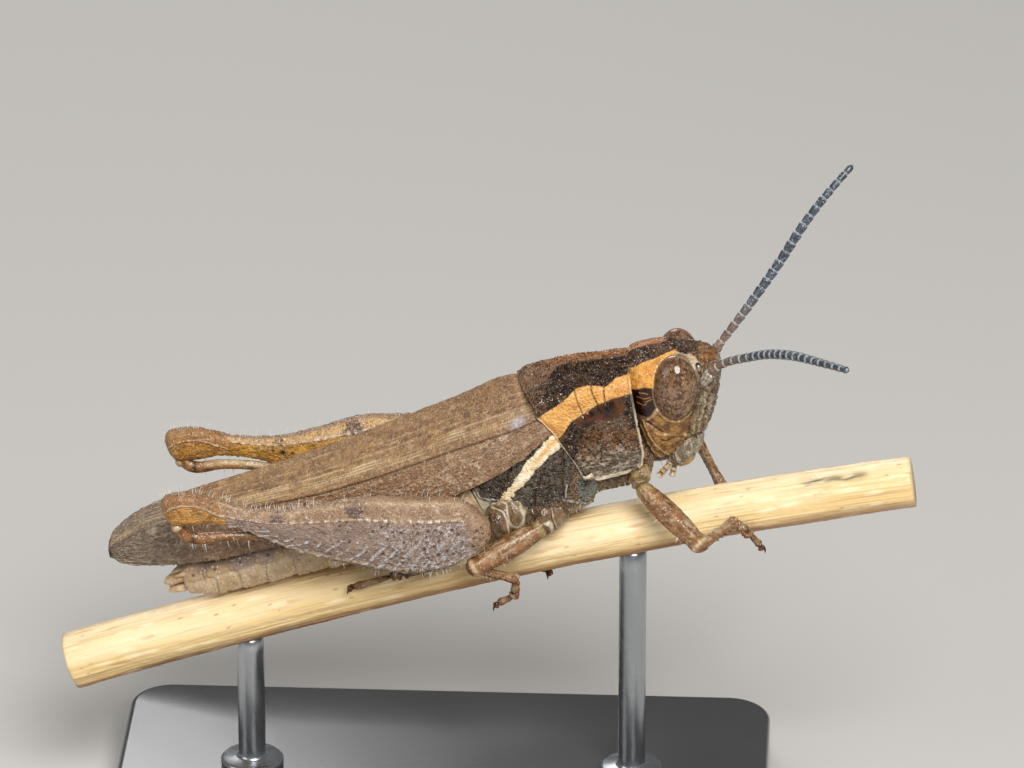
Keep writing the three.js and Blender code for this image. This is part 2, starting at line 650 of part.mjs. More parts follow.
/** Flat base: a rounded rectangle with its edges eased. */
function makeBase() {
  const half = { x: BASE.length / 2 - BASE.bevel, y: BASE.width / 2 - BASE.bevel };
  const round = BASE.corner;
  const shape = new THREE.Shape();
  const corners = [[1, -1, -90], [1, 1, 0], [-1, 1, 90], [-1, -1, 180]];
  for (const [sx, sy, start] of corners) {
    const from = THREE.MathUtils.degToRad(start);
    shape.absarc(sx * (half.x - round), sy * (half.y - round), round, from,
      from + Math.PI / 2, false);
  }
  const geometry = new THREE.ExtrudeGeometry(shape, {
    depth: BASE.height - 2 * BASE.bevel,
    bevelThickness: BASE.bevel,
    bevelSize: BASE.bevel,
    bevelSegments: 1,
    curveSegments: 3,
  });
  geometry.translate(0, 0, BASE.bevel);
  return solidOf(geometry);
}

/** Upright rod from the base to the underside of the stem. */
function makeRod(x) {
  const length = ROD.tallest - BASE.height - GAP;
  const geometry = new THREE.CylinderGeometry(ROD.radius, ROD.radius, length, 14, 1);
  geometry.rotateX(Math.PI / 2);
  geometry.translate(x, 0, BASE.height + GAP + length / 2);
  const parts = solidOf(geometry).subtract(makeStem(GAP)).decompose();
  return parts.reduce((low, part) =>
    (part.boundingBox().min[2] < low.boundingBox().min[2] ? part : low));
}

// ---------------------------------------------------------------- assembly

pieces.set('stem_guard', { make: stemGuard });

const model = new THREE.Group();
model.add(bodyFrame);

for (const [name, { material, make, cutBy }] of pieces) {
  if (material) {
    const whole = cutBy.reduce(
      (solid, other) => solid.subtract(pieces.get(other).make(GAP)),
      make(0),
    );
    const mesh = new THREE.Mesh(geometryOf(whole), material);
    mesh.name = name;
    bodyFrame.add(mesh);
  }
}

const fixtures = {
  perch_stem: [STRAW, makeStem(0)],
  stand_base: [PLATE, makeBase()],
  stand_rod_rear: [STEEL, makeRod(-ROD.reach)],
  stand_rod_front: [STEEL, makeRod(ROD.reach)],
};
for (const [name, [material, solid]] of Object.entries(fixtures)) {
  const mesh = new THREE.Mesh(geometryOf(solid), material);
  mesh.name = name;
  model.add(mesh);
}

export default model;
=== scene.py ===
"""Grasshopper gripping a dry stem: the visual model of a life-size still museum piece.

Every plate, limb and wing is a grid of points laid out in the animal's own body frame
(millimetres: x forward, y to its left, z up from the belly), raised by functions that
model its relief, and marked by functions that its finishes read.
"""

from __future__ import annotations

import json
import logging
import math
from dataclasses import dataclass, field
from enum import Enum
from functools import cache
from typing import Callable, Sequence

import bpy
import numpy as np
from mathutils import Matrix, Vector

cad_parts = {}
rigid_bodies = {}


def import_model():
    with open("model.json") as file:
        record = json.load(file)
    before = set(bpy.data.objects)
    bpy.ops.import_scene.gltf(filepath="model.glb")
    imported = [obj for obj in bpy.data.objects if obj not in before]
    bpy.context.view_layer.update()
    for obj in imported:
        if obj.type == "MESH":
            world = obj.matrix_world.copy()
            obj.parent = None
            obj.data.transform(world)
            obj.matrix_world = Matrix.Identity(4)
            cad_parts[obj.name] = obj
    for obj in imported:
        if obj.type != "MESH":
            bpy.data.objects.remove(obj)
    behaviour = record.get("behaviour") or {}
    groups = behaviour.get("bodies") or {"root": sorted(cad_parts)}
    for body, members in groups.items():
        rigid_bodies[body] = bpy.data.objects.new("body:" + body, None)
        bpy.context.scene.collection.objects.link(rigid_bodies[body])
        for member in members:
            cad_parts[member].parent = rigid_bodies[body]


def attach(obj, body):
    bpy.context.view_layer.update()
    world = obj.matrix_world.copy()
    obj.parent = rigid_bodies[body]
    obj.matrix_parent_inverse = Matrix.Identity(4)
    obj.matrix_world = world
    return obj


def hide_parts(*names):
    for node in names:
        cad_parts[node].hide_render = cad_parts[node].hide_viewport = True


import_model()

log = logging.getLogger("grasshopper")
Array = np.ndarray
Rows = Sequence[Sequence[float]]
Outline = Callable[[Array], tuple[Array, Array]]
Piece = bpy.types.Object
Socket = bpy.types.NodeSocket

MM = 0.001
PITCH = math.radians(15.0)      # the body leans nose up by this much
BELLY_HEIGHT = 10.9             # millimetres from the floor to the body frame's origin
SIDES = {"right": -1, "left": 1}


# ------------------------------------------------------------------ places and numbers


def to_frame(points: Array) -> Array:
    """Body-frame millimetres as metres in the model's frame.

    Args:
        points: any array whose last axis is x, y, z.

    Returns:
        An array of the same shape.
    """
    x, y, z = np.moveaxis(np.asarray(points, float), -1, 0)
    c, s = math.cos(PITCH), math.sin(PITCH)
    return np.stack([x * c - z * s, y, BELLY_HEIGHT + x * s + z * c], -1) * MM


def to_body(x: float | Array, y: float | Array, z: float | Array) -> Array:
    """Places in the model's frame, in millimetres, as places in the body frame."""
    c, s = math.cos(PITCH), math.sin(PITCH)
    z = np.subtract(z, BELLY_HEIGHT)
    return np.stack([x * c + z * s, y + 0 * z, z * c - x * s], -1)


def ease(value: Array, low: float, high: float) -> Array:
    """0 below low, 1 above high, and a smooth rise between."""
    t = np.clip((value - low) / (high - low), 0, 1)
    return t * t * (3 - 2 * t)


def hump(value: Array, centre: float | Array, width: float | Array) -> Array:
    """A round rise of 1 at centre that has gone within about two widths."""
    return np.exp(-(((value - centre) / width) ** 2))


def unit(vector: Array) -> Array:
    """The vector at a length of 1."""
    return vector / np.linalg.norm(vector)


def linked(name: str, data: bpy.types.ID) -> Piece:
    """A new object at the origin that shows the data."""
    piece = bpy.data.objects.new(name, data)
    bpy.context.scene.collection.objects.link(piece)
    return piece


def scramble(cell: Array, seed: int) -> Array:
    """A repeatable number from 0 to 1 for each whole-number cell, by mixing its bits."""
    c = cell.astype(np.int64)
    n = c[..., 0] * 73856093 ^ c[..., 1] * 19349663 ^ c[..., 2] * 83492791 ^ seed * 26544357
    n = ((n ^ (n >> 13)) * 1274126177) & 0xFFFFFFFF
    return ((n ^ (n >> 16)) & 0xFFFFFF) / 0xFFFFFF


def noise(points: Array, size: float | Sequence[float], seed: int = 0, octaves: int = 2) -> Array:
    """Smooth random relief, about -1 to 1.

    Args:
        points: places in millimetres.
        size: width of the broadest lumps in millimetres, or one width for each axis.
        seed: which pattern.
        octaves: how many finer layers are added, each half as wide and half as high.

    Returns:
        One height for each point.
    """
    total, height = np.zeros(points.shape[:-1]), 1.0
    for octave in range(octaves):
        place = points / np.asarray(size, float) * 2**octave
        low = np.floor(place)
        t = place - low
        t = t * t * (3 - 2 * t)
        value = np.zeros_like(total)
        for corner in np.ndindex(2, 2, 2):
            share = np.prod(np.where(corner, t, 1 - t), axis=-1)
            value += share * scramble(low + corner, seed + 17 * octave)
        total += height * (2 * value - 1)
        height /= 2
    return total


def ridged(points: Array, size: float | Sequence[float], seed: int) -> Array:
    """Relief with sharp crests at 1."""
    return 1 - np.abs(noise(points, size, seed))


def cells(points: Array, size: float | Sequence[float],
          seed: int = 0) -> tuple[Array, Array, Array]:
    """Cells around scattered seeds: nearest distance, gap to the next seed, and a lot.

    Args:
        points: places in millimetres.
        size: spacing of the seeds in millimetres, or one spacing for each axis.
        seed: which pattern.

    Returns:
        The distance to the nearest seed and how much further the next one is, both in
        spacings, and a random number that is the same all over one cell.
    """
    place = points / np.asarray(size, float)
    low = np.floor(place)
    first = np.full(points.shape[:-1], 9.0)
    second, lot = first.copy(), first.copy()
    for step in np.ndindex(3, 3, 3):
        cell = low + np.array(step) - 1
        jitter = np.stack([scramble(cell, seed + 101 * k) for k in range(3)], -1)
        away = np.linalg.norm(place - cell - jitter, axis=-1)
        nearer = away < first
        second = np.where(nearer, first, np.minimum(second, away))
        lot = np.where(nearer, scramble(cell, seed + 777), lot)
        first = np.minimum(first, away)
    return first, second - first, lot


def line_distance(a: Array, b: Array, line: Rows) -> tuple[Array, Array]:
    """How far points (a, b) lie from a drawn line, and how far along it, 0 to 1."""
    corners = np.asarray(line, float)
    lengths = np.linalg.norm(np.diff(corners, axis=0), axis=1)
    starts = np.concatenate([[0], np.cumsum(lengths)])
    best, place = np.full(np.shape(a), 1e9), np.zeros(np.shape(a))
    for (p, q), length, start in zip(zip(corners, corners[1:]), lengths, starts):
        run = (q - p) / length
        t = np.clip((a - p[0]) * run[0] + (b - p[1]) * run[1], 0, length)
        away = np.hypot(a - p[0] - run[0] * t, b - p[1] - run[1] * t)
        place = np.where(away < best, (start + t) / starts[-1], place)
        best = np.minimum(best, away)
    return best, place


def stroke(a: Array, b: Array, line: Rows, width: float, end_width: float | None = None) -> Array:
    """A drawn line: 1 along its middle, fading out at half its width."""
    away, place = line_distance(a, b, line)
    last = width if end_width is None else end_width
    half = (width + (last - width) * place) / 2
    return 1 - ease(away / half, 0.55, 1.25)


def strokes(a: Array, b: Array, lines: Sequence[Rows], width: float) -> Array:
    """Several drawn lines of one width."""
    return np.clip(sum(stroke(a, b, line, width) for line in lines), 0, 1)


def dot(a: Array, b: Array, centre: tuple[float, float], size: float) -> Array:
    """A round spot of 1 at the centre that has gone within about two sizes."""
    return hump(np.hypot(a - centre[0], b - centre[1]), 0, size)


def patch(a: Array, b: Array, outline: Rows, soft: float) -> Array:
    """A filled outline: 1 inside, 0 outside, with an edge that is soft millimetres wide."""
    closed = [*outline, outline[0]]
    away, _ = line_distance(a, b, closed)
    inside = np.zeros(np.shape(a), bool)
    for (x0, y0), (x1, y1) in zip(closed, closed[1:]):
        if y0 != y1:
            crosses = (b < y0) != (b < y1)
            inside ^= crosses & (a < (x1 - x0) * (b - y0) / (y1 - y0) + x0)
    return ease(np.where(inside, away, -away), -soft / 2, soft / 2)


def read_rows(rows: Rows, shares: Array) -> Array:
    """Smooth reading of rows of numbers, spaced by the distance between their first three.

    Args:
        rows: the numbers, one row for each station.
        shares: where to read, from 0 at the first row to 1 at the last.

    Returns:
        One row of numbers for each share.
    """
    table = np.asarray(rows, float)
    steps = np.linalg.norm(np.diff(table[:, :3], axis=0), axis=1)
    knots = np.concatenate([[0], np.cumsum(steps)])
    slopes = np.diff(table, axis=0) / steps[:, None]
    weight = (steps[:-1] / (steps[:-1] + steps[1:]))[:, None]
    inner = slopes[1:] * weight + slopes[:-1] * (1 - weight)
    tangents = np.vstack([slopes[:1], inner, slopes[-1:]])
    place = np.asarray(shares, float) * knots[-1]
    i = np.clip(np.searchsorted(knots, place, side="right") - 1, 0, len(steps) - 1)
    t = ((place - knots[i]) / steps[i])[:, None]
    span = steps[i][:, None]
    return (
        (2 * t**3 - 3 * t**2 + 1) * table[i]
        + (t**3 - 2 * t**2 + t) * span * tangents[i]
        + (3 * t**2 - 2 * t**3) * table[i + 1]
        + (t**3 - t**2) * span * tangents[i + 1]
    )


def mirrored(rows: Rows, side: int) -> list[list[float]]:
    """The same rows for the animal's left (side 1) or right (side -1)."""
    return [[row[0], side * row[1], *row[2:]] for row in rows]


def trunk_rows(rows: Rows) -> list[tuple[float, ...]]:
    """Limb rows of an upright body from x, top and bottom height and half width."""
    return [(x, 0, (top + low) / 2, half, (top - low) / 2) for x, top, low, half in rows]


# ------------------------------------------------------------------ section outlines


def oval(power: float = 2.0) -> Outline:
    """Outline of a section: an oval whose corners fill out as power rises above 2."""

    def outline(angle: Array) -> tuple[Array, Array]:
        """The section's point at each angle."""
        across, rise = np.cos(angle), np.sin(angle)
        return tuple(np.sign(v) * np.abs(v) ** (2 / power) for v in (across, rise))

    return outline


def drawn_outline(half: Rows, steps: int = 40) -> Outline:
    """Outline through a few [across, up] points.

    Args:
        half: the points of its right half, from the top down.
        steps: how finely the curve between two points is followed.

    Returns:
        A function from angles to places across and up.
    """
    ring = np.array([*half, *[[-a, b] for a, b in half[-2:0:-1]]], float)
    n = len(ring)
    fine = []
    t = np.linspace(0, 1, steps, endpoint=False)[:, None]
    for i in range(n):
        p0, p1, p2, p3 = (ring[(i + k) % n] for k in (-1, 0, 1, 2))
        fine.append(0.5 * (2 * p1 + (p2 - p0) * t + (2 * p0 - 5 * p1 + 4 * p2 - p3) * t**2
                           + (3 * p1 - p0 - 3 * p2 + p3) * t**3))
    loop = np.vstack([*fine, ring[:1]])
    reach = np.concatenate([[0], np.cumsum(np.linalg.norm(np.diff(loop, axis=0), axis=1))])

    def outline(angle: Array) -> tuple[Array, Array]:
        """The loop's point at each angle, read by length along the loop."""
        turn = (0.25 - np.asarray(angle) / (2 * math.pi) + 2) % 1 * reach[-1]
        return np.interp(turn, reach, loop[:, 0]), np.interp(turn, reach, loop[:, 1])

    return outline


# ------------------------------------------------------------------ shapes

TILE_RIM = 0.03                 # empty edge of each tile of a joined shape's unwrap


class Ends(Enum):
    """How a grid of points is closed."""

    CAPPED = "round the grid's two ends"
    SHELL = "a thin shell with an inner face"


@dataclass
class Shape:
    """A closed mesh in the body frame, with marks on its points."""

    points: Array
    quads: Array
    tris: Array
    marks: dict[str, Array] = field(default_factory=dict)

    @staticmethod
    def join(shapes: Sequence["Shape"]) -> "Shape":
        """All the shapes as one, each with its own tile of skin_u and skin_v."""
        names = {name for shape in shapes for name in shape.marks}
        starts = np.cumsum([0] + [len(s.points) for s in shapes[:-1]])
        marks = {
            name: np.concatenate([s.marks.get(name, np.zeros(len(s.points))) for s in shapes])
            for name in names
        }
        if "skin_u" in names and len(shapes) > 1:
            tile = np.concatenate([np.full(len(s.points), i) for i, s in enumerate(shapes)])
            inside = marks["skin_u"] * (1 - 2 * TILE_RIM) + TILE_RIM
            marks["skin_u"] = (inside + tile) / len(shapes)
        return Shape(
            np.concatenate([s.points for s in shapes]),
            np.concatenate([s.quads + i for s, i in zip(shapes, starts)]),
            np.concatenate([s.tris + i for s, i in zip(shapes, starts)]),
            marks,
        )

    def build(self, name: str, material: bpy.types.Material) -> Piece:
        """The shape as a Blender object at the origin, with its marks as attributes."""
        mesh = bpy.data.meshes.new(name)
        corners = np.concatenate([self.quads.ravel(), self.tris.ravel()]).astype(np.int32)
        sizes = [4] * len(self.quads) + [3] * len(self.tris)
        mesh.vertices.add(len(self.points))
        mesh.vertices.foreach_set("co", to_frame(self.points).astype(np.float32).ravel())
        mesh.loops.add(len(corners))
        mesh.loops.foreach_set("vertex_index", corners)
        mesh.polygons.add(len(sizes))
        starts = np.concatenate([[0], np.cumsum(sizes)[:-1]]).astype(np.int32)
        mesh.polygons.foreach_set("loop_start", starts)
        mesh.polygons.foreach_set("use_smooth", np.ones(len(sizes), bool))
        mesh.update(calc_edges=True)
        for mark, values in self.marks.items():
            layer = mesh.attributes.new(mark, "FLOAT", "POINT")
            layer.data.foreach_set("value", np.asarray(values, np.float32))
        mesh.materials.append(material)
        return linked(name, mesh)


@dataclass
class Grid:
    """Rows of points over one plate or limb; a wrapping grid goes all the way round."""

    points: Array
    wraps: bool
    t: Array | None = None           # along a limb, 0 to 1
    angle: Array | None = None       # around a limb, radians
    marks: dict[str, Array] = field(default_factory=dict)

    def fade(self, width: float, start: float = 0.0) -> Array:
        """0 at a limb's two ends, and 1 from width in."""
        return ease(np.minimum(self.t, 1 - self.t), start, width)

    def square(self) -> Array:
        """Directions square to the grid, on the side that the order of its points gives."""
        p = self.points
        if self.wraps:
            around = np.roll(p, -1, axis=1) - np.roll(p, 1, axis=1)
        else:
            around = np.gradient(p, axis=1)
        return np.cross(np.gradient(p, axis=0), around)

    def normals(self) -> Array:
        """Directions that point out of the plate, one for each point."""
        out = self.square()
        out /= np.maximum(np.linalg.norm(out, axis=-1, keepdims=True), 1e-12)
        inner = self.points.mean(axis=1, keepdims=True)
        return out if ((self.points - inner) * out).sum() > 0 else -out

    def raised(self, height: Array) -> "Grid":
        """The same grid, lifted off its face by height millimetres."""
        self.points = self.points + self.normals() * np.asarray(height)[..., None]
        return self

    def mark(self, **marks: float | Array) -> "Grid":
        """Keeps marks that a finish reads, each from 0 to 1."""
        for name, values in marks.items():
            self.marks[name] = np.broadcast_to(values, self.points.shape[:2]).astype(float)
        return self

    def shape(self, ends: Ends = Ends.CAPPED, thickness: float = 0.05) -> Shape:
        """The grid closed into a solid, its faces pointing out."""
        n, m = self.points.shape[:2]
        u, v = np.meshgrid(np.linspace(0, 1, n), np.linspace(0, 1, m), indexing="ij")
        marks = {**self.marks, "skin_u": v, "skin_v": u}
        index = np.arange(n * m).reshape(n, m)
        across = np.hstack([index, index[:, :1]]) if self.wraps else index
        quads = np.stack([across[:-1, :-1], across[1:, :-1], across[1:, 1:], across[:-1, 1:]], -1)
        quads = quads.reshape(-1, 4)
        outward = self.normals()
        if (self.square() * outward).sum() < 0:
            quads = quads[:, ::-1]
        flat = {name: values.ravel() for name, values in marks.items()}
        if ends is Ends.CAPPED:
            return self._capped(across, quads, flat)
        return self._shell(index, quads, outward, flat, thickness)

    def _capped(self, across: Array, quads: Array, flat: dict[str, Array]) -> Shape:
        """Closes both ends with a fan of triangles round a middle point."""
        n, m = self.points.shape[:2]
        middles = self.points[[0, -1]].mean(axis=1)
        points = np.vstack([self.points.reshape(-1, 3), middles])
        fans = [np.stack([np.full(len(row) - 1, n * m + end), row[:-1], row[1:]], -1)
                for end, row in enumerate((across[0], across[-1]))]
        tris = self._facing_ends(points, fans)
        marks = {
            name: np.concatenate([values, [values[:m].mean(), values[-m:].mean()]])
            for name, values in flat.items()
        }
        return Shape(points, quads, tris, marks)

    def _facing_ends(self, points: Array, fans: list[Array]) -> Array:
        """Turns each end's triangles so that they face away from the grid."""
        turned = []
        for fan, (end, inner) in zip(fans, ((0, 1), (-1, -2))):
            away = self.points[end].mean(axis=0) - self.points[inner].mean(axis=0)
            a, b, c = (points[fan[:, k]] for k in range(3))
            facing = (np.cross(b - a, c - a) @ away).sum() > 0
            turned.append(fan if facing else fan[:, ::-1])
        return np.vstack(turned)

    def _shell(self, index: Array, quads: Array, outward: Array,
               flat: dict[str, Array], thickness: float) -> Shape:
        """Adds an inner face and a rim round all four edges."""
        n, m = self.points.shape[:2]
        inner = (self.points - outward * thickness).reshape(-1, 3)
        points = np.vstack([self.points.reshape(-1, 3), inner])
        edge = np.concatenate([index[:-1, 0], index[-1, :-1], index[:0:-1, -1], index[0, :0:-1]])
        following = np.roll(edge, -1)
        rim = np.stack([edge, following, following + n * m, edge + n * m], -1)
        a, b, d = (points[rim[:, k]] for k in (0, 1, 3))
        away = self.points.reshape(-1, 3)[edge] - self.points.reshape(-1, 3).mean(axis=0)
        if (np.cross(b - a, d - a) * away).sum() < 0:
            rim = rim[:, ::-1]
        marks = {name: np.tile(values, 2) for name, values in flat.items()}
        faces = np.vstack([quads, quads[:, ::-1] + n * m, rim])
        return Shape(points, faces, np.zeros((0, 3), int), marks)


@dataclass
class Limb:
    """A solid drawn through sections along a path, with places along and around it."""

    rows: Rows                       # x, y, z, half across, half up
    up: tuple[float, float, float] = (0, 0, 1)
    outline: Outline = oval()
    along: int = 40
    around: int = 24
    ease_ends: bool = False          # crowd the stations towards both ends
    level: bool = False              # keep every section level instead of square to the path

    def grid(self) -> Grid:
        """The limb's surface, with the place of each point along and around it."""
        t = np.linspace(0, 1, self.along)
        if self.ease_ends:
            t = 0.5 - 0.5 * np.cos(math.pi * t)
        angle = np.linspace(0, 2 * math.pi, self.around, endpoint=False)
        row = read_rows(self.rows, t)
        nudge = 0.002
        ahead = (read_rows(self.rows, np.clip(t + nudge, 0, 1))
                 - read_rows(self.rows, np.clip(t - nudge, 0, 1)))[:, :3]
        if self.level:
            ahead[:] = (0, 0, 1)
        ahead /= np.linalg.norm(ahead, axis=1, keepdims=True)
        across = np.cross(np.asarray(self.up, float), ahead)
        across /= np.linalg.norm(across, axis=1, keepdims=True)
        rise = np.cross(ahead, across)
        a, b = self.outline(angle)
        points = (row[:, None, :3] + across[:, None] * (a * row[:, 3:4])[..., None]
                  + rise[:, None] * (b * row[:, 4:5])[..., None])
        return Grid(points, True, *np.broadcast_arrays(t[:, None], angle[None, :]))


# ------------------------------------------------------------------ nodes


def linear(colour: str) -> tuple[float, float, float, float]:
    """An sRGB hex value as the linear colour that shaders use."""
    parts = [int(colour[i : i + 2], 16) / 255 for i in (1, 3, 5)]
    return (*[c / 12.92 if c <= 0.04045 else ((c + 0.055) / 1.055) ** 2.4 for c in parts], 1.0)


def add(tree: bpy.types.NodeTree, kind: str, inputs: dict | None = None,
        **settings: object) -> bpy.types.Node:
    """Adds a node, sets it up and links its inputs.

    Args:
        tree: the node tree it goes in.
        kind: the node's type name.
        inputs: for each input, by name or number, a value or the socket that feeds it.
        settings: properties of the node itself.

    Returns:
        The new node.
    """
    node = tree.nodes.new(kind)
    for name, value in settings.items():
        setattr(node, name, value)
    for name, value in (inputs or {}).items():
        if isinstance(value, bpy.types.NodeSocket):
            tree.links.new(value, node.inputs[name])
        else:
            node.inputs[name].default_value = value
    return node


class Nodes:
    """Short ways to the nodes that the finishes and the grown pieces use most."""

    def __init__(self, tree: bpy.types.NodeTree) -> None:
        """Keeps the tree that the nodes go in."""
        self.tree = tree

    def node(self, kind: str, inputs: dict | None = None, **settings: object) -> bpy.types.Node:
        """Adds a node to the tree."""
        return add(self.tree, kind, inputs, **settings)

    def out(self, kind: str, inputs: dict | None = None, **settings: object) -> Socket:
        """Adds a node and gives its first output."""
        return self.node(kind, inputs, **settings).outputs[0]

    def math(self, operation: str, first: object, second: object = 0.0) -> Socket:
        """The result of one sum on two numbers."""
        return self.out("ShaderNodeMath", {0: first, 1: second}, operation=operation)

    def remap(self, value: Socket, low: float, high: float, to_low: object = 0.0,
              to_high: object = 1.0, **settings: object) -> Socket:
        """Stretches the values between low and high over a new range."""
        return self.out("ShaderNodeMapRange", {
            "Value": value, "From Min": low, "From Max": high,
            "To Min": to_low, "To Max": to_high,
        }, **settings)

    def mark(self, name: str) -> Socket:
        """What a mark on the surface says, 0 to 1."""
        return self.node("ShaderNodeAttribute", attribute_name=name).outputs["Fac"]

    def clouds(self, place: Socket, size: float, detail: float = 2.0) -> Socket:
        """Cloudy noise whose lumps are about size millimetres wide."""
        return self.out("ShaderNodeTexNoise", {
            "Vector": place, "Scale": 0.6 / size, "Detail": detail})

    def blend(self, share: Socket, first: object, second: object) -> Socket:
        """Blends two colours."""
        return self.node("ShaderNodeMix", {0: share, 6: first, 7: second},
                         data_type="RGBA").outputs[2]


# ------------------------------------------------------------------ finishes

BROAD_EDGE = (0.35, 0.65)      # noise levels between which the broad clouds change colour
LAYER_EDGE = (0.38, 0.62)      # the same for the clouds within a layer
LOOSE_EDGE = (0.3, 0.7)        # the same for gloss and for a layer's ragged edge
RAGGED_SIZE = 0.05             # width of the lumps that eat into a ragged edge, mm
WANDER = 0.25                  # how far light wanders inside a thin skin, mm


@dataclass(frozen=True)
class Layer:
    """A colour laid over the ones before it, where a mark says so."""

    mark: str                  # attribute, 0 to 1
    colour: str
    mottle: str = ""           # second colour that clouds the first
    size: float = 0.25         # width of those clouds, mm
    strength: float = 1.0
    ragged: float = 0.0        # how far a fine noise eats into the mark's edge
    rough: float | None = None

    def lay(self, nodes: Nodes, place: Socket, fine: Socket, colour: Socket,
            rough: Socket) -> tuple[Socket, Socket]:
        """Lays this colour over what is there.

        Args:
            nodes: the material's nodes.
            place: coordinates in millimetres.
            fine: the noise that eats into ragged edges.
            colour, rough: colour and roughness so far.

        Returns:
            The new colour and roughness.
        """
        share = nodes.mark(self.mark)
        if self.ragged:
            shift = nodes.remap(fine, *LOOSE_EDGE, -self.ragged, self.ragged)
            share = nodes.remap(nodes.math("ADD", share, shift), *BROAD_EDGE)
        if self.strength != 1.0:
            share = nodes.math("MULTIPLY", share, self.strength)
        over = linear(self.colour)
        if self.mottle:
            cloud = nodes.remap(nodes.clouds(place, self.size), *LAYER_EDGE)
            over = nodes.blend(cloud, over, linear(self.mottle))
        colour = nodes.blend(share, colour, over)
        if self.rough is not None:
            rough = nodes.out("ShaderNodeMix", {0: share, 2: rough, 3: self.rough},
                              data_type="FLOAT")
        return colour, rough


@dataclass(frozen=True)
class Finish:
    """A surface: what it is made of, how it was formed and what that gives the eye."""

    name: str
    slot: str
    colour: str
    mottle: str                # second colour of the broad clouding
    size: float = 0.3          # width of the clouds, mm
    fleck: str = ""            # colour of the pale granules: partly their own tone, partly painted glints
    pit: str = "#1c130d"       # colour of the hollows
    fleck_size: float = 0.07   # spacing of granules and hollows, mm
    fleck_amount: float = 0.3  # share of the granules that are pale
    pit_amount: float = 0.2    # share that are hollows
    fleck_strength: float = 0.6
    granule: float = 0.0       # height of the granules, mm
    layers: tuple[Layer, ...] = ()
    rough: float = 0.45
    rough_spread: float = 0.1
    coat: float = 0.0
    metallic: float = 0.0
    ior: float = 1.5
    grain: float = 0.0         # height of the fine bump, mm
    grain_size: float = 0.05   # spacing of the fine bump, mm
    stretch: tuple[float, float, float] = (1.0, 1.0, 1.0)
    see_through: float = 0.0   # share of light that wanders inside the skin

    def make(self) -> bpy.types.Material:
        """The finish as a node material, in body-frame millimetres."""
        material = bpy.data.materials.new(self.name)
        material.use_nodes = True
        nodes = Nodes(material.node_tree)
        nodes.tree.nodes.clear()
        whole = nodes.node("ShaderNodeTexCoord").outputs["Object"]
        body = nodes.out("ShaderNodeMapping", {
            "Vector": whole, "Location": (0, 0, BELLY_HEIGHT * MM),
            "Rotation": (0, -PITCH, 0), "Scale": (MM, MM, MM),
        }, vector_type="TEXTURE")
        place = nodes.out("ShaderNodeMapping", {"Vector": body, "Scale": self.stretch})
        share = nodes.remap(nodes.clouds(place, self.size, 3.0), *BROAD_EDGE)
        colour = nodes.blend(share, linear(self.colour), linear(self.mottle))
        rough = nodes.remap(nodes.clouds(place, self.size * 0.4), *LOOSE_EDGE,
                            self.rough - self.rough_spread, self.rough + self.rough_spread)
        fine = nodes.clouds(place, RAGGED_SIZE)
        for layer in self.layers:
            colour, rough = layer.lay(nodes, place, fine, colour, rough)
        dots = None
        if self.fleck:
            colour, dots = self._granules(nodes, place, colour)
        shader = nodes.node("ShaderNodeBsdfPrincipled", {
            "Base Color": colour, "Roughness": rough, "Metallic": self.metallic,
            "IOR": self.ior, "Coat Weight": self.coat, "Coat Roughness": 0.12,
        })
        if self.see_through:
            shader.inputs["Subsurface Weight"].default_value = self.see_through
            shader.inputs["Subsurface Radius"].default_value = (1.0, 0.55, 0.3)
            shader.inputs["Subsurface Scale"].default_value = WANDER * MM
        if self.grain:
            self._bump(nodes, place, dots, shader)
        out = nodes.node("ShaderNodeOutputMaterial", {"Surface": shader.outputs[0]})
        out.is_active_output = True
        return material

    def _bump(self, nodes: Nodes, place: Socket, dots: Socket | None,
              shader: bpy.types.Node) -> None:
        """Raises the fine grain, and the granules where there are any."""
        grains = nodes.clouds(place, self.grain_size)
        bump = nodes.out("ShaderNodeBump", {"Height": grains, "Distance": self.grain * MM})
        if self.granule:
            bump = nodes.out("ShaderNodeBump", {
                "Height": dots, "Distance": self.granule * MM, "Normal": bump})
        nodes.tree.links.new(bump, shader.inputs["Normal"])

    def _granules(self, nodes: Nodes, place: Socket, colour: Socket) -> tuple[Socket, Socket]:
        """Peppers a colour with pale granules and dark hollows, except where it is smooth.

        Args:
            nodes: the material's nodes.
            place: coordinates in millimetres.
            colour: the colour so far.

        Returns:
            The new colour and the granules' height.
        """
        cell = nodes.node("ShaderNodeTexVoronoi", {"Vector": place, "Scale": 1 / self.fleck_size})
        lot = nodes.node("ShaderNodeSeparateColor", {"Color": cell.outputs["Color"]}).outputs
        bare = nodes.remap(nodes.mark("smooth"), 0, 1, 1, 0)
        dots = nodes.math("MULTIPLY", nodes.remap(cell.outputs["Distance"], 0.55, 0.2), bare)
        for channel, amount, over in ((0, self.fleck_amount, self.fleck),
                                      (1, self.pit_amount, self.pit)):
            chosen = nodes.remap(lot[channel], 0.96 - amount, 1.04 - amount,
                                 0, self.fleck_strength)
            colour = nodes.blend(nodes.math("MULTIPLY", dots, chosen), colour, linear(over))
        return colour, dots


def place_piece(piece: Piece, slot: str, *nodes: str) -> None:
    """Rides a finished piece on the model and hides the CAD nodes that it replaces.

    Args:
        piece: the object, already in place.
        slot: the record's material slot; not used.
        nodes: the CAD nodes that it replaces.
    """
    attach(piece, "root")
    if nodes:
        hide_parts(*nodes)
    log.info("%s: %d points", piece.name, len(piece.data.vertices))


def dress(shape: Shape, name: str, finish: Finish, *nodes: str) -> None:
    """Builds a shape, gives it its finish and puts it on the model."""
    place_piece(shape.build(name, material_of(finish)), finish.slot, *nodes)


@cache
def material_of(finish: Finish) -> bpy.types.Material:
    """The finish's material, made once."""
    return finish.make()


# ------------------------------------------------------------------ grown pieces


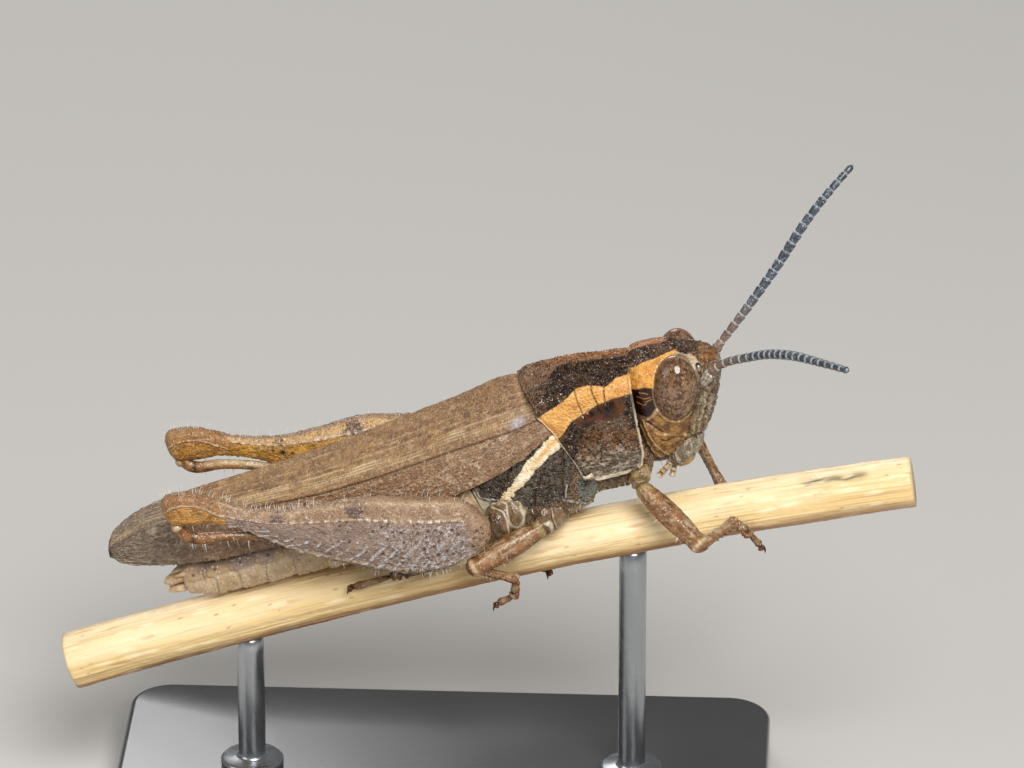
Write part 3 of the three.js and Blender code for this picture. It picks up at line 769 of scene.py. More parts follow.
class NodeTree(Nodes):
    """A Geometry Nodes tree built in the script and applied once for each piece."""

    def __init__(self, name: str, inputs: dict[str, tuple[str, object]]) -> None:
        """Makes the tree with its named inputs, each a socket type and a value."""
        super().__init__(bpy.data.node_groups.new(name, "GeometryNodeTree"))
        self.name = name
        ports = self.tree.interface
        ports.new_socket("Geometry", in_out="INPUT", socket_type="NodeSocketGeometry")
        for label, (kind, value) in inputs.items():
            ports.new_socket(label, in_out="INPUT", socket_type=kind).default_value = value
        ports.new_socket("Geometry", in_out="OUTPUT", socket_type="NodeSocketGeometry")
        self.given = self.node("NodeGroupInput").outputs

    def named(self, name: str, data_type: str = "FLOAT") -> bpy.types.Node:
        """Reads a named attribute."""
        return self.node("GeometryNodeInputNamedAttribute", {"Name": name}, data_type=data_type)

    def store(self, geometry: Socket, name: str, value: Socket) -> Socket:
        """Keeps a number on each point under a name."""
        return self.out("GeometryNodeStoreNamedAttribute", {
            "Geometry": geometry, "Name": name, "Value": value}, data_type="FLOAT", domain="POINT")

    def height(self) -> Socket:
        """The height of each point."""
        place = self.out("GeometryNodeInputPosition")
        return self.node("ShaderNodeSeparateXYZ", {"Vector": place}).outputs[2]

    def grow_on(self, points: Socket, stalk: Socket, turn: Socket, scale: Socket,
                finish: Finish) -> None:
        """Ends the tree with a turned and scaled copy of the stalk on each point."""
        grown = self.out("GeometryNodeInstanceOnPoints", {
            "Points": points, "Instance": stalk, "Rotation": turn, "Scale": scale})
        self.finish(grown, finish)

    def finish(self, geometry: Socket, finish: Finish) -> None:
        """Ends the tree: instances made real, then the material."""
        real = self.out("GeometryNodeRealizeInstances", {"Geometry": geometry})
        dressed = self.out("GeometryNodeSetMaterial", {
            "Geometry": real, "Material": material_of(finish)})
        self.node("NodeGroupOutput", {"Geometry": dressed})

    def grow(self, base: Piece, name: str, **values: object) -> Piece:
        """Runs the tree on base and keeps the result as a plain smooth mesh; base is removed.

        Args:
            base: the object that the tree reads.
            name: the new piece's name.
            values: a value for each named input, with spaces written as underscores.

        Returns:
            The new piece.
        """
        modifier = base.modifiers.new(self.name, "NODES")
        modifier.node_group = self.tree
        for item in self.tree.interface.items_tree:
            key = item.name.replace(" ", "_").lower()
            if item.item_type == "SOCKET" and item.in_out == "INPUT" and key in values:
                modifier[item.identifier] = values[key]
        evaluated = base.evaluated_get(bpy.context.evaluated_depsgraph_get())
        mesh = bpy.data.meshes.new_from_object(evaluated)
        mesh.name = name
        mesh.polygons.foreach_set("use_smooth", np.ones(len(mesh.polygons), bool))
        bpy.data.objects.remove(base)
        return linked(name, mesh)


# ------------------------------------------------------------------ head

# Chitin of the head: tanned shell, rough-cast in fine wrinkles; satin, olive brown.
HEAD_CHITIN = Finish(
    name="head_chitin", slot="face", colour="#70593f", mottle="#5b462f", size=0.2,
    fleck="#c9bba2", fleck_size=0.075, fleck_amount=0.22, pit="#2b1b10", pit_amount=0.2,
    fleck_strength=0.5, rough=0.27, grain=0.012, grain_size=0.045, granule=0.014,
    layers=(
        Layer("groove", "#20150c", "#392916", 0.1, strength=0.95),
        Layer("ridge", "#ab9b7e", "#7b6a50", 0.1, strength=0.8),
        Layer("gena", "#643d1a", "#a0743a", 0.22, strength=0.95, rough=0.22),
        Layer("crown", "#27160c", "#553822", 0.14, ragged=0.2),
        Layer("fastigium", "#93602f", "#5a391f", 0.14, strength=0.9),
        Layer("median", "#b5783a", "#8e5b30", 0.2, ragged=0.12),
        Layer("stripe", "#dda048", "#c2813a", 0.16, ragged=0.12, rough=0.3),
        Layer("brow", "#cdb898", "#9b7f62", 0.1, ragged=0.12, strength=0.85),
        Layer("shadow", "#170703", "#2c0f05", 0.12, rough=0.2),
        Layer("wrinkle", "#b07a34", strength=0.85),
        Layer("glaze", "#4c2911", "#33190a", 0.14, rough=0.18),
        Layer("seam", "#3a2413", strength=0.85),
        # rim: pale margins and ridges, and painted glints on the beads below the eye
        Layer("rim", "#cdb48a", "#b08e62", 0.1),
    ),
)
# Eye cornea: clear, dead smooth chitin over brown pigment; a hard wet gloss.
EYE_CORNEA = Finish(
    name="eye_cornea", slot="eye", colour="#8a6b4f", mottle="#6b4e38", size=0.14,
    fleck="#a88c70", pit="#2c1b11", fleck_size=0.07, fleck_amount=0.6, pit_amount=0.6,
    fleck_strength=0.75, rough=0.07, rough_spread=0.01, ior=1.48,
    stretch=(1.1, 1.0, 0.6),
    layers=(
        # painted shade: the top of the eye darkened against the light from above
        Layer("crest", "#7a5640", "#543826", 0.1, strength=0.55),
        Layer("spots", "#3d2819", "#523826", 0.1, strength=0.9),
        Layer("rim", "#b09574", "#7c5c3e", 0.2, strength=0.8),
    ),
)
# Ocellus: a clear bead set in a dark ring; white where it gathers the light.
OCELLUS = Finish(
    name="ocellus_lens", slot="eye", colour="#8d8374", mottle="#4f4235", size=0.1,
    rough=0.06, rough_spread=0.02, coat=0.8,
    layers=(Layer("rim", "#1c120c"),),
)
# Mouth plates: thick ridged chitin, greyer than the face; satin with pale ridges.
MOUTH_CHITIN = Finish(
    name="mouth_chitin", slot="face", colour="#7b6d5a", mottle="#93866f", size=0.2,
    fleck="#cfc8b8", fleck_size=0.07, fleck_amount=0.3, rough=0.36, grain=0.01, granule=0.01,
    layers=(
        Layer("ridge", "#bcb097", "#94866c", 0.1, strength=0.8),
        Layer("amber", "#a5793f", "#c09a5f", 0.15),
        Layer("seam", "#4a2f18", strength=0.9),
    ),
)
# Palps: thin unhardened chitin; milky and a little see-through at the tips.
PALP_CHITIN = Finish(
    name="palp_chitin", slot="face", colour="#8d6b45", mottle="#a98758", size=0.2,
    rough=0.35, see_through=0.15,
    layers=(Layer("pale", "#d8d0c2", "#b8a890", 0.12), Layer("seam", "#5a3a1e", strength=0.8)),
)


@dataclass
class Head:
    """The head capsule with its eyes, ocelli and mouth parts."""

    # front and back x, half width and height of level slices
    slices: Rows = (
        (9.1, 8.55, 0.5, 1.62), (9.5, 8.48, 0.9, 1.8), (10.05, 8.4, 1.12, 2.08),
        (10.6, 8.33, 1.24, 2.4), (10.86, 8.3, 1.32, 2.75), (11.16, 8.25, 1.4, 3.35),
        (11.49, 8.25, 1.42, 4.2), (11.57, 8.25, 1.34, 4.8), (11.42, 8.3, 1.22, 5.08),
        (11.05, 8.4, 1.08, 5.3), (10.7, 8.42, 0.82, 5.5), (10.3, 8.5, 0.6, 5.7),
        (9.98, 8.72, 0.36, 5.87), (9.72, 9.0, 0.16, 5.95),
    )
    section: Rows = ((0, 1), (0.5, 0.93), (0.86, 0.55), (1, -0.05), (0.95, -0.65),
                     (0.62, -0.97), (0, -1))
    eye_centre: tuple[float, float, float] = (10.0, 1.14, 4.44)
    eye_half: tuple[float, float, float] = (0.81, 0.76, 1.255)
    eye_lean: float = 15.0
    ocellus: tuple[float, float, float] = (10.97, 0.98, 4.93)
    socket: tuple[float, float, float] = (11.1, 0.8, 4.34)   # of a feeler
    density: tuple[int, int] = (230, 300)    # points along and around the capsule
    eye_density: tuple[int, int] = (120, 150)

    def build(self) -> None:
        """Makes every piece of the head."""
        self.build_capsule()
        for name, side in SIDES.items():
            self.build_eye(name, side)
            self.build_mandible(name, side)
            self.build_palps(name, side)
        self.build_ocelli()
        self.build_lip()

    def eye_depth(self, points: Array, side: int) -> Array:
        """How far points lie outside an eye, in millimetres, about."""
        lean = math.radians(self.eye_lean)
        p = points - np.array([self.eye_centre[0], side * self.eye_centre[1], self.eye_centre[2]])
        x = p[..., 0] * math.cos(lean) - p[..., 2] * math.sin(lean)
        z = p[..., 0] * math.sin(lean) + p[..., 2] * math.cos(lean)
        reach = np.sqrt((x / self.eye_half[0]) ** 2 + (p[..., 1] / self.eye_half[1]) ** 2
                        + (z / self.eye_half[2]) ** 2)
        return (reach - 1) * 0.8

    def build_capsule(self) -> None:
        """The hard case of the head, from the crown down to the mouth."""
        rows = [((front + back) / 2, 0, z, half, (front - back) / 2)
                for front, back, half, z in self.slices]
        grid = Limb(rows, up=(1, 0, 0), outline=drawn_outline(self.section),
                    along=self.density[0], around=self.density[1],
                    ease_ends=True, level=True).grid()
        x, y, z = np.moveaxis(grid.points, -1, 0)
        side = np.abs(y)
        eye = np.minimum(self.eye_depth(grid.points, 1), self.eye_depth(grid.points, -1))
        front = ease(x, 10.3, 10.9) * (1 - ease(z, 4.9, 5.2))

        costa = front * (hump(side, 0.2, 0.08) + 0.5 * (side < 0.2)) * ease(z, 2.0, 2.6)
        warp = 0.04 * noise(grid.points, 0.2, seed=2)
        keel = strokes(x + warp, z, (
            [(10.78, 3.9), (10.54, 3.36), (10.3, 2.93), (10.13, 2.55)],
            [(10.98, 3.95), (10.72, 3.36), (10.48, 2.89), (10.36, 2.55)],
            [(11.16, 3.75), (10.92, 3.3), (10.66, 2.75), (10.46, 2.3)]), 0.11) * (side > 0.3)
        brink = stroke(x, z, [(9.95, 2.62), (10.2, 2.38), (10.6, 2.16)], 0.08)
        streaks = noise(grid.points, (0.1, 0.1, 0.26), seed=3, octaves=3)
        folds = 1 - np.abs(streaks)
        folded = ease(folds, 0.78, 0.98) * front * 0.7
        socket = np.linalg.norm(grid.points - np.array(self.socket) * np.where(
            y[..., None] < 0, [1, -1, 1], [1, 1, 1]), axis=-1)
        lip = hump(eye, 0.045, 0.035)
        below = stroke(x, z, [(10.52, 3.6), (10.22, 3.15), (10.02, 2.55), (9.6, 2.05), (9.25, 1.8)],
                       0.06)
        hind = stroke(x, z, [(8.57, 3.52), (8.6, 2.98), (8.76, 2.38), (9.1, 1.85)], 0.05)
        fold = stroke(x, z, [(8.42, 3.3), (8.44, 2.8), (8.58, 2.15), (8.8, 1.8)], 0.05)
        wedge = stroke(x, z, [(8.7, 3.52), (8.95, 3.62), (9.18, 3.86)], 0.1, 0.16)
        pit = stroke(x + warp, z, [(8.68, 3.42), (8.95, 3.12), (9.22, 2.86)], 0.15, 0.05)
        crease = stroke(x + warp, z, [(9.02, 2.58), (9.2, 2.5), (9.46, 2.6)], 0.09)
        shelf = stroke(x + warp, z, [(8.86, 2.96), (9.08, 2.8), (9.4, 2.72), (9.8, 2.62)], 0.07)
        cheek_cells, cheek_gap, _ = cells(grid.points, (0.26, 0.3, 0.2), seed=8)
        plates = ease(0.14 - cheek_gap, 0, 0.1)
        # glint_beads: three small bumps below the eye that the rim mark paints pale as painted
        # glints
        glint_beads = (dot(x, z, (9.21, 2.83), 0.07) + dot(x, z, (9.9, 2.58), 0.08)
                 + 0.8 * dot(x, z, (9.62, 2.5), 0.05))
        crown = ease(z, 5.0, 5.3)
        grains, _, _ = cells(grid.points, 0.09, seed=5)
        coarse = noise(grid.points, 0.25, seed=9, octaves=3)
        height = (
            0.05 * costa + 0.08 * keel + 0.07 * folded + 0.03 * lip
            + 0.06 * hump(socket, 0.3, 0.09) - 0.1 * hump(socket, 0, 0.2)
            - 0.05 * below - 0.06 * pit + 0.045 * hind + 0.04 * fold - 0.05 * brink
            - 0.04 * crease + 0.03 * shelf + 0.05 * glint_beads + 0.04 * wedge
            + 0.02 * coarse + 0.025 * (0.5 - grains) * (0.3 + crown)
            - 0.12 * ease(-eye, 0.0, 0.25)
        )
        cheek = [(8.64, 3.5), (9.2, 3.8), (9.6, 3.5), (10.1, 3.3), (10.5, 3.62), (10.24, 3.15),
                 (10.04, 2.54), (9.25, 1.6), (8.6, 1.5), (8.4, 2.3), (8.4, 3.4)]
        stripe = [(8.2, 4.72), (8.6, 4.72), (8.95, 4.77), (9.6, 4.62), (9.8, 5.0), (10.0, 5.35),
                  (10.45, 5.5), (10.3, 5.62), (9.9, 5.6), (9.5, 5.55), (9.0, 5.52), (8.7, 5.42),
                  (8.2, 5.4)]
        dark = [(8.2, 4.72), (8.6, 4.72), (8.95, 4.77), (9.35, 4.62), (9.25, 3.9), (8.8, 3.63),
                (8.5, 3.7), (8.2, 4.0)]
        wrinkles = strokes(x, z, (
            [(8.72, 4.6), (8.86, 4.58), (9.02, 4.5)], [(8.6, 4.46), (8.8, 4.36), (9.08, 4.38)],
            [(8.54, 4.22), (8.75, 4.1), (8.86, 4.16)], [(8.84, 4.22), (9.1, 4.3)]), 0.035)
        rings = [(9.0 + 0.16 * k, 5.0 + 0.1 * k) for k in range(3)]
        bent = np.clip(sum(hump(np.hypot(x - a, 1.2 * (z - b)), 0.12, 0.02)
                           for a, b in rings), 0, 1)
        gena = patch(x, z, cheek, 0.3)
        height += (0.02 * (0.4 - cheek_cells) - 0.02 * plates) * gena - 0.012 * bent
        height *= grid.fade(0.02)
        grid.raised(height)
        upper = ease(z, 4.7, 5.1)
        facing = ease(x, 10.2, 10.5) * (1 - ease(z, 4.5, 4.8))
        grid.mark(
            gena=gena,
            groove=front * np.clip(ease(0.66 - folds, 0, 0.25) * 0.85 + ease(0.5 - keel, 0, 0.5) * (
                side > 0.3) * ease(4.0 - z, 0, 0.2) * 0.5, 0, 1) * (1 - gena),
            ridge=np.clip(folded * 0.9 + keel + 0.5 * costa + 0.5 * hump(socket, 0.3, 0.06), 0, 1)
            * (1 - gena) * (1 - 0.6 * ease(z, 4.5, 5.0)),
            crown=ease(z + 0.25 * side, 5.15, 5.35) * (1 - ease(x, 10.9, 11.2)),
            fastigium=ease(x, 10.9, 11.2) * ease(z, 4.75, 5.0),
            median=(1 - ease(side, 0.16, 0.34)) * ease(z, 5.1, 5.3) * ease(10.3 - x, 0, 0.7),
            stripe=patch(x, z, stripe, 0.1) * (1 - 0.4 * ease(x, 9.9, 10.4)) * (1 - 0.35 * bent),
            brow=np.clip(ease(0.36 - eye, 0, 0.2) * upper * ease(x, 10.55, 10.8) * 0.8
                         + 0.7 * hump(eye, 0.1, 0.05) * upper * ease(x, 9.9, 10.3), 0, 1),
            shadow=patch(x, z, dark, 0.08) * (1 - wedge), wrinkle=wrinkles,
            glaze=np.clip(pit + 0.8 * crease + 0.4 * plates * gena, 0, 1),
            seam=np.clip(0.8 * below + 0.8 * brink + hump(socket, 0.14, 0.1)
                         + 0.8 * hump(eye, 0.06, 0.05) * facing, 0, 1),
            # rim includes the glint beads: painted glints
            rim=np.clip(hump(eye, 0.03, 0.02) * 0.4 * (1 - facing) + 0.55 * hind + 0.4 * fold
                        + 0.6 * wedge + glint_beads + 0.2 * shelf, 0, 1),
            smooth=np.clip(patch(x, z, dark, 0.1) + 0.7 * gena, 0, 1),
            hair=ease(x + 0.4 * (4 - z), 10.4, 10.8),
        )
        dress(grid.shape(), "head_capsule", HEAD_CHITIN, "head")

    def build_eye(self, name: str, side: int) -> None:
        """A compound eye, set in the capsule to about half its thickness."""
        pole = 0.02                      # angle left open round each pole, for the caps
        polar = np.linspace(pole, math.pi - pole, self.eye_density[0])
        turn = np.linspace(0, 2 * math.pi, self.eye_density[1], endpoint=False)
        up, round_it = np.meshgrid(polar, turn, indexing="ij")
        x = self.eye_half[0] * np.sin(up) * np.cos(round_it)
        y = self.eye_half[1] * np.sin(up) * np.sin(round_it)
        z = self.eye_half[2] * np.cos(up)
        lean = math.radians(self.eye_lean)
        cx, cy, cz = self.eye_centre
        points = np.stack([x * math.cos(lean) + z * math.sin(lean) + cx, y + side * cy,
                           z * math.cos(lean) - x * math.sin(lean) + cz], -1)
        grid = Grid(points, wraps=True)
        edge = ease(side * y, -0.12, 0.0) * (1 - ease(side * y, 0.03, 0.14))
        spots = noise(points, (0.11, 0.11, 0.075), seed=17)
        # the eye's top carries painted shade
        grid.mark(rim=edge, crest=ease(np.cos(up), 0.1, 0.8), spots=ease(spots, 0.0, 0.22))
        dress(grid.shape(), f"eye_ball_{name}", EYE_CORNEA, f"eye_{name}")

    def build_ocelli(self) -> None:
        """The three simple eyes: one on each side and one in the middle of the face."""
        shapes = []
        places = [(self.ocellus[0], s * self.ocellus[1], self.ocellus[2]) for s in (-1, 1)]
        facing = ((0.35, -0.8, 0.3), (0.35, 0.8, 0.3), (1, 0, 0))
        for centre, out in zip([*places, (11.5, 0, 4.3)], facing):
            out = unit(np.array(out))
            rows = [(*(np.array(centre) + out * d), r * 0.85, r * 1.4) for d, r in (
                (-0.16, 0.1), (-0.05, 0.135), (0.04, 0.14), (0.08, 0.12), (0.12, 0.07),
                (0.14, 0.02))]
            grid = Limb(rows, up=(0.2, 0, 1), along=24, around=24).grid()
            grid.mark(rim=1 - ease(grid.t, 0.84, 0.9))
            shapes.append(grid.shape())
        dress(Shape.join(shapes), "ocelli", OCELLUS)

    def build_lip(self) -> None:
        """Clypeus and labrum: the flaps that hang in front of the jaws."""
        rows = [(10.16, 0, 2.2, 0.6, 0.24), (10.12, 0, 2.0, 0.64, 0.26),
                (9.98, 0, 1.76, 0.64, 0.26),
                (9.84, 0, 1.57, 0.57, 0.23), (9.78, 0, 1.5, 0.54, 0.21), (9.69, 0, 1.42, 0.6, 0.26),
                (9.54, 0, 1.28, 0.6, 0.26), (9.38, 0, 1.16, 0.5, 0.2), (9.26, 0, 1.08, 0.34, 0.12),
                (9.2, 0, 1.05, 0.2, 0.07)]
        grid = Limb(rows, up=(1, 0, -0.6), outline=oval(3), along=70, around=70).grid()
        groove = hump(grid.t, 0.5, 0.025)
        lines = ease(ridged(grid.points, (0.5, 0.1, 0.5), seed=4), 0.6, 1)
        grid.raised(0.035 * lines - 0.04 * groove + 0.012 * noise(grid.points, 0.12, seed=6)
                    - 0.03 * hump(grid.points[..., 1], 0, 0.06) * ease(grid.t, 0.7, 0.9))
        grid.mark(ridge=lines * (grid.t < 0.5), amber=ease(grid.t, 0.52, 0.62), seam=groove)
        dress(grid.shape(), "clypeus_and_labrum", MOUTH_CHITIN, "clypeus_labrum")

    def build_mandible(self, name: str, side: int) -> None:
        """A jaw: a thick curved plate beside the lip."""
        rows = mirrored([(10.08, 0.74, 2.3, 0.24, 0.12), (9.96, 0.8, 2.16, 0.3, 0.22),
                         (9.78, 0.82, 1.98, 0.32, 0.28), (9.55, 0.8, 1.78, 0.32, 0.3),
                         (9.34, 0.74, 1.58, 0.28, 0.26), (9.18, 0.66, 1.42, 0.2, 0.18),
                         (9.1, 0.6, 1.36, 0.1, 0.09)], side)
        grid = Limb(rows, up=(1, 0, -1), outline=oval(2.6), along=50, around=50).grid()
        lines = ease(ridged(grid.points, (0.16, 0.16, 0.5), seed=14), 0.55, 1)
        grid.raised(0.05 * lines + 0.02 * noise(grid.points, 0.1, seed=15))
        grid.mark(ridge=lines, seam=np.maximum(1 - ease(grid.t, 0.03, 0.12),
                                               0.6 * ease(0.4 - lines, 0, 0.4)))
        dress(grid.shape(), f"mandible_plate_{name}", MOUTH_CHITIN, f"mandible_{name}")

    def build_palps(self, name: str, side: int) -> None:
        """The jointed feelers of the mouth: a longer and a shorter one on each side."""
        paths = (
            ([(9.15, 0.62, 1.55), (8.96, 0.8, 1.38), (8.8, 0.92, 1.28), (8.66, 0.98, 1.22),
              (8.5, 1.0, 1.1)], 0.12),
            ([(9.18, 0.48, 1.36), (9.1, 0.62, 1.18), (9.04, 0.78, 1.08), (8.96, 0.86, 0.92)], 0.11),
        )
        shapes = []
        for path, thick in paths:
            for a, b in zip(path, path[1:]):
                a, b = np.array(a), np.array(b)
                rows = [(*(a + (b - a) * t), thick * r, thick * r) for t, r in
                        ((0, 0.35), (0.06, 0.7), (0.3, 0.85), (0.7, 1.05),
                         (0.92, 1.0), (1.02, 0.5))]
                grid = Limb(mirrored(rows, side), up=(1, 0, 0), along=14, around=14).grid()
                last = b[2] == path[-1][2]
                grid.mark(pale=ease(grid.t, 0.2, 0.8) * (1.0 if last else 0.45),
                          seam=1 - ease(grid.t, 0.0, 0.12))
                shapes.append(grid.shape())
        dress(Shape.join(shapes), f"mouth_palps_{name}", PALP_CHITIN, f"palps_{name}")


# ------------------------------------------------------------------ neck shield and thorax

# Shield chitin: thick tanned shell, cast in fine granules; satin, dark above a pale band; its pale
# flecks are partly painted glints.
SHIELD_CHITIN = Finish(
    name="shield_chitin", slot="shell", colour="#6f604f", mottle="#584838", size=0.3,
    fleck="#b89a78", pit="#150e09", fleck_size=0.1, fleck_amount=0.2, pit_amount=0.4, rough=0.17,
    fleck_strength=0.65, grain=0.014, grain_size=0.045, granule=0.07, ior=1.5,
    layers=(
        Layer("amber", "#4c2c11", "#784b20", 0.3, strength=0.9),
        Layer("pale_lines", "#b9ad9a", "#938672", 0.1, strength=0.7),
        Layer("disc", "#6b4e39", "#826246", 0.25, ragged=0.15),
        Layer("disc_dark", "#22150d", "#4a3422", 0.16, ragged=0.25),
        Layer("median", "#99683f", "#7d5030", 0.15, ragged=0.15),
        Layer("band", "#e2ab5e", "#cb8e48", 0.22, ragged=0.16, rough=0.3),
        Layer("shade", "#221711", "#43311f", 0.12, ragged=0.25),
        Layer("callus", "#1d0d03", "#552a06", 0.25, rough=0.1),
        Layer("sulcus", "#2f1a0b", strength=0.85),
        Layer("rim", "#ddd0b6", "#cdbb9c", 0.4),
    ),
)
# Side-plate chitin: coarse granular shell; dark grains with a dull sheen; their pale grey flecks
# are painted glints.
SIDE_CHITIN = Finish(
    name="side_chitin", slot="shell", colour="#5f4f3d", mottle="#3f3226", size=0.22,
    fleck="#a9a59c", pit="#0f0a07", fleck_size=0.1, fleck_amount=0.25, pit_amount=0.4, rough=0.17,
    fleck_strength=0.7, grain=0.016, grain_size=0.045, granule=0.075, ior=1.6,
    layers=(
        Layer("brown", "#74563a", "#8c6a48", 0.25, strength=0.85),
        Layer("slate", "#2f261d", "#5c5144", 0.14, ragged=0.25, strength=0.85),
        Layer("belly", "#b19b78", "#937c5c", 0.3),
        Layer("plate", "#78786c", "#5f5f58", 0.2),
        Layer("band", "#f2e2c0", "#dcbf8f", 0.18, ragged=0.25, rough=0.42),
        Layer("band_heart", "#e2ae66", "#d39a50", 0.3, strength=0.8),
        Layer("membrane", "#c9bda4", "#a8977a", 0.15, rough=0.3),
        Layer("seam", "#5b3b22", "#3a2617", 0.2, strength=0.85),
        Layer("rim", "#b9b7ad", "#8f9090", 0.15, strength=0.9),
        Layer("shadow", "#1d1512", strength=0.8),
    ),
)


# right half of the trunk's cross-section: across and up
TRUNK_SECTION = ((0, 1), (0.6, 0.86), (0.94, 0.45), (1, 0), (0.93, -0.5), (0.6, -0.9), (0, -1))


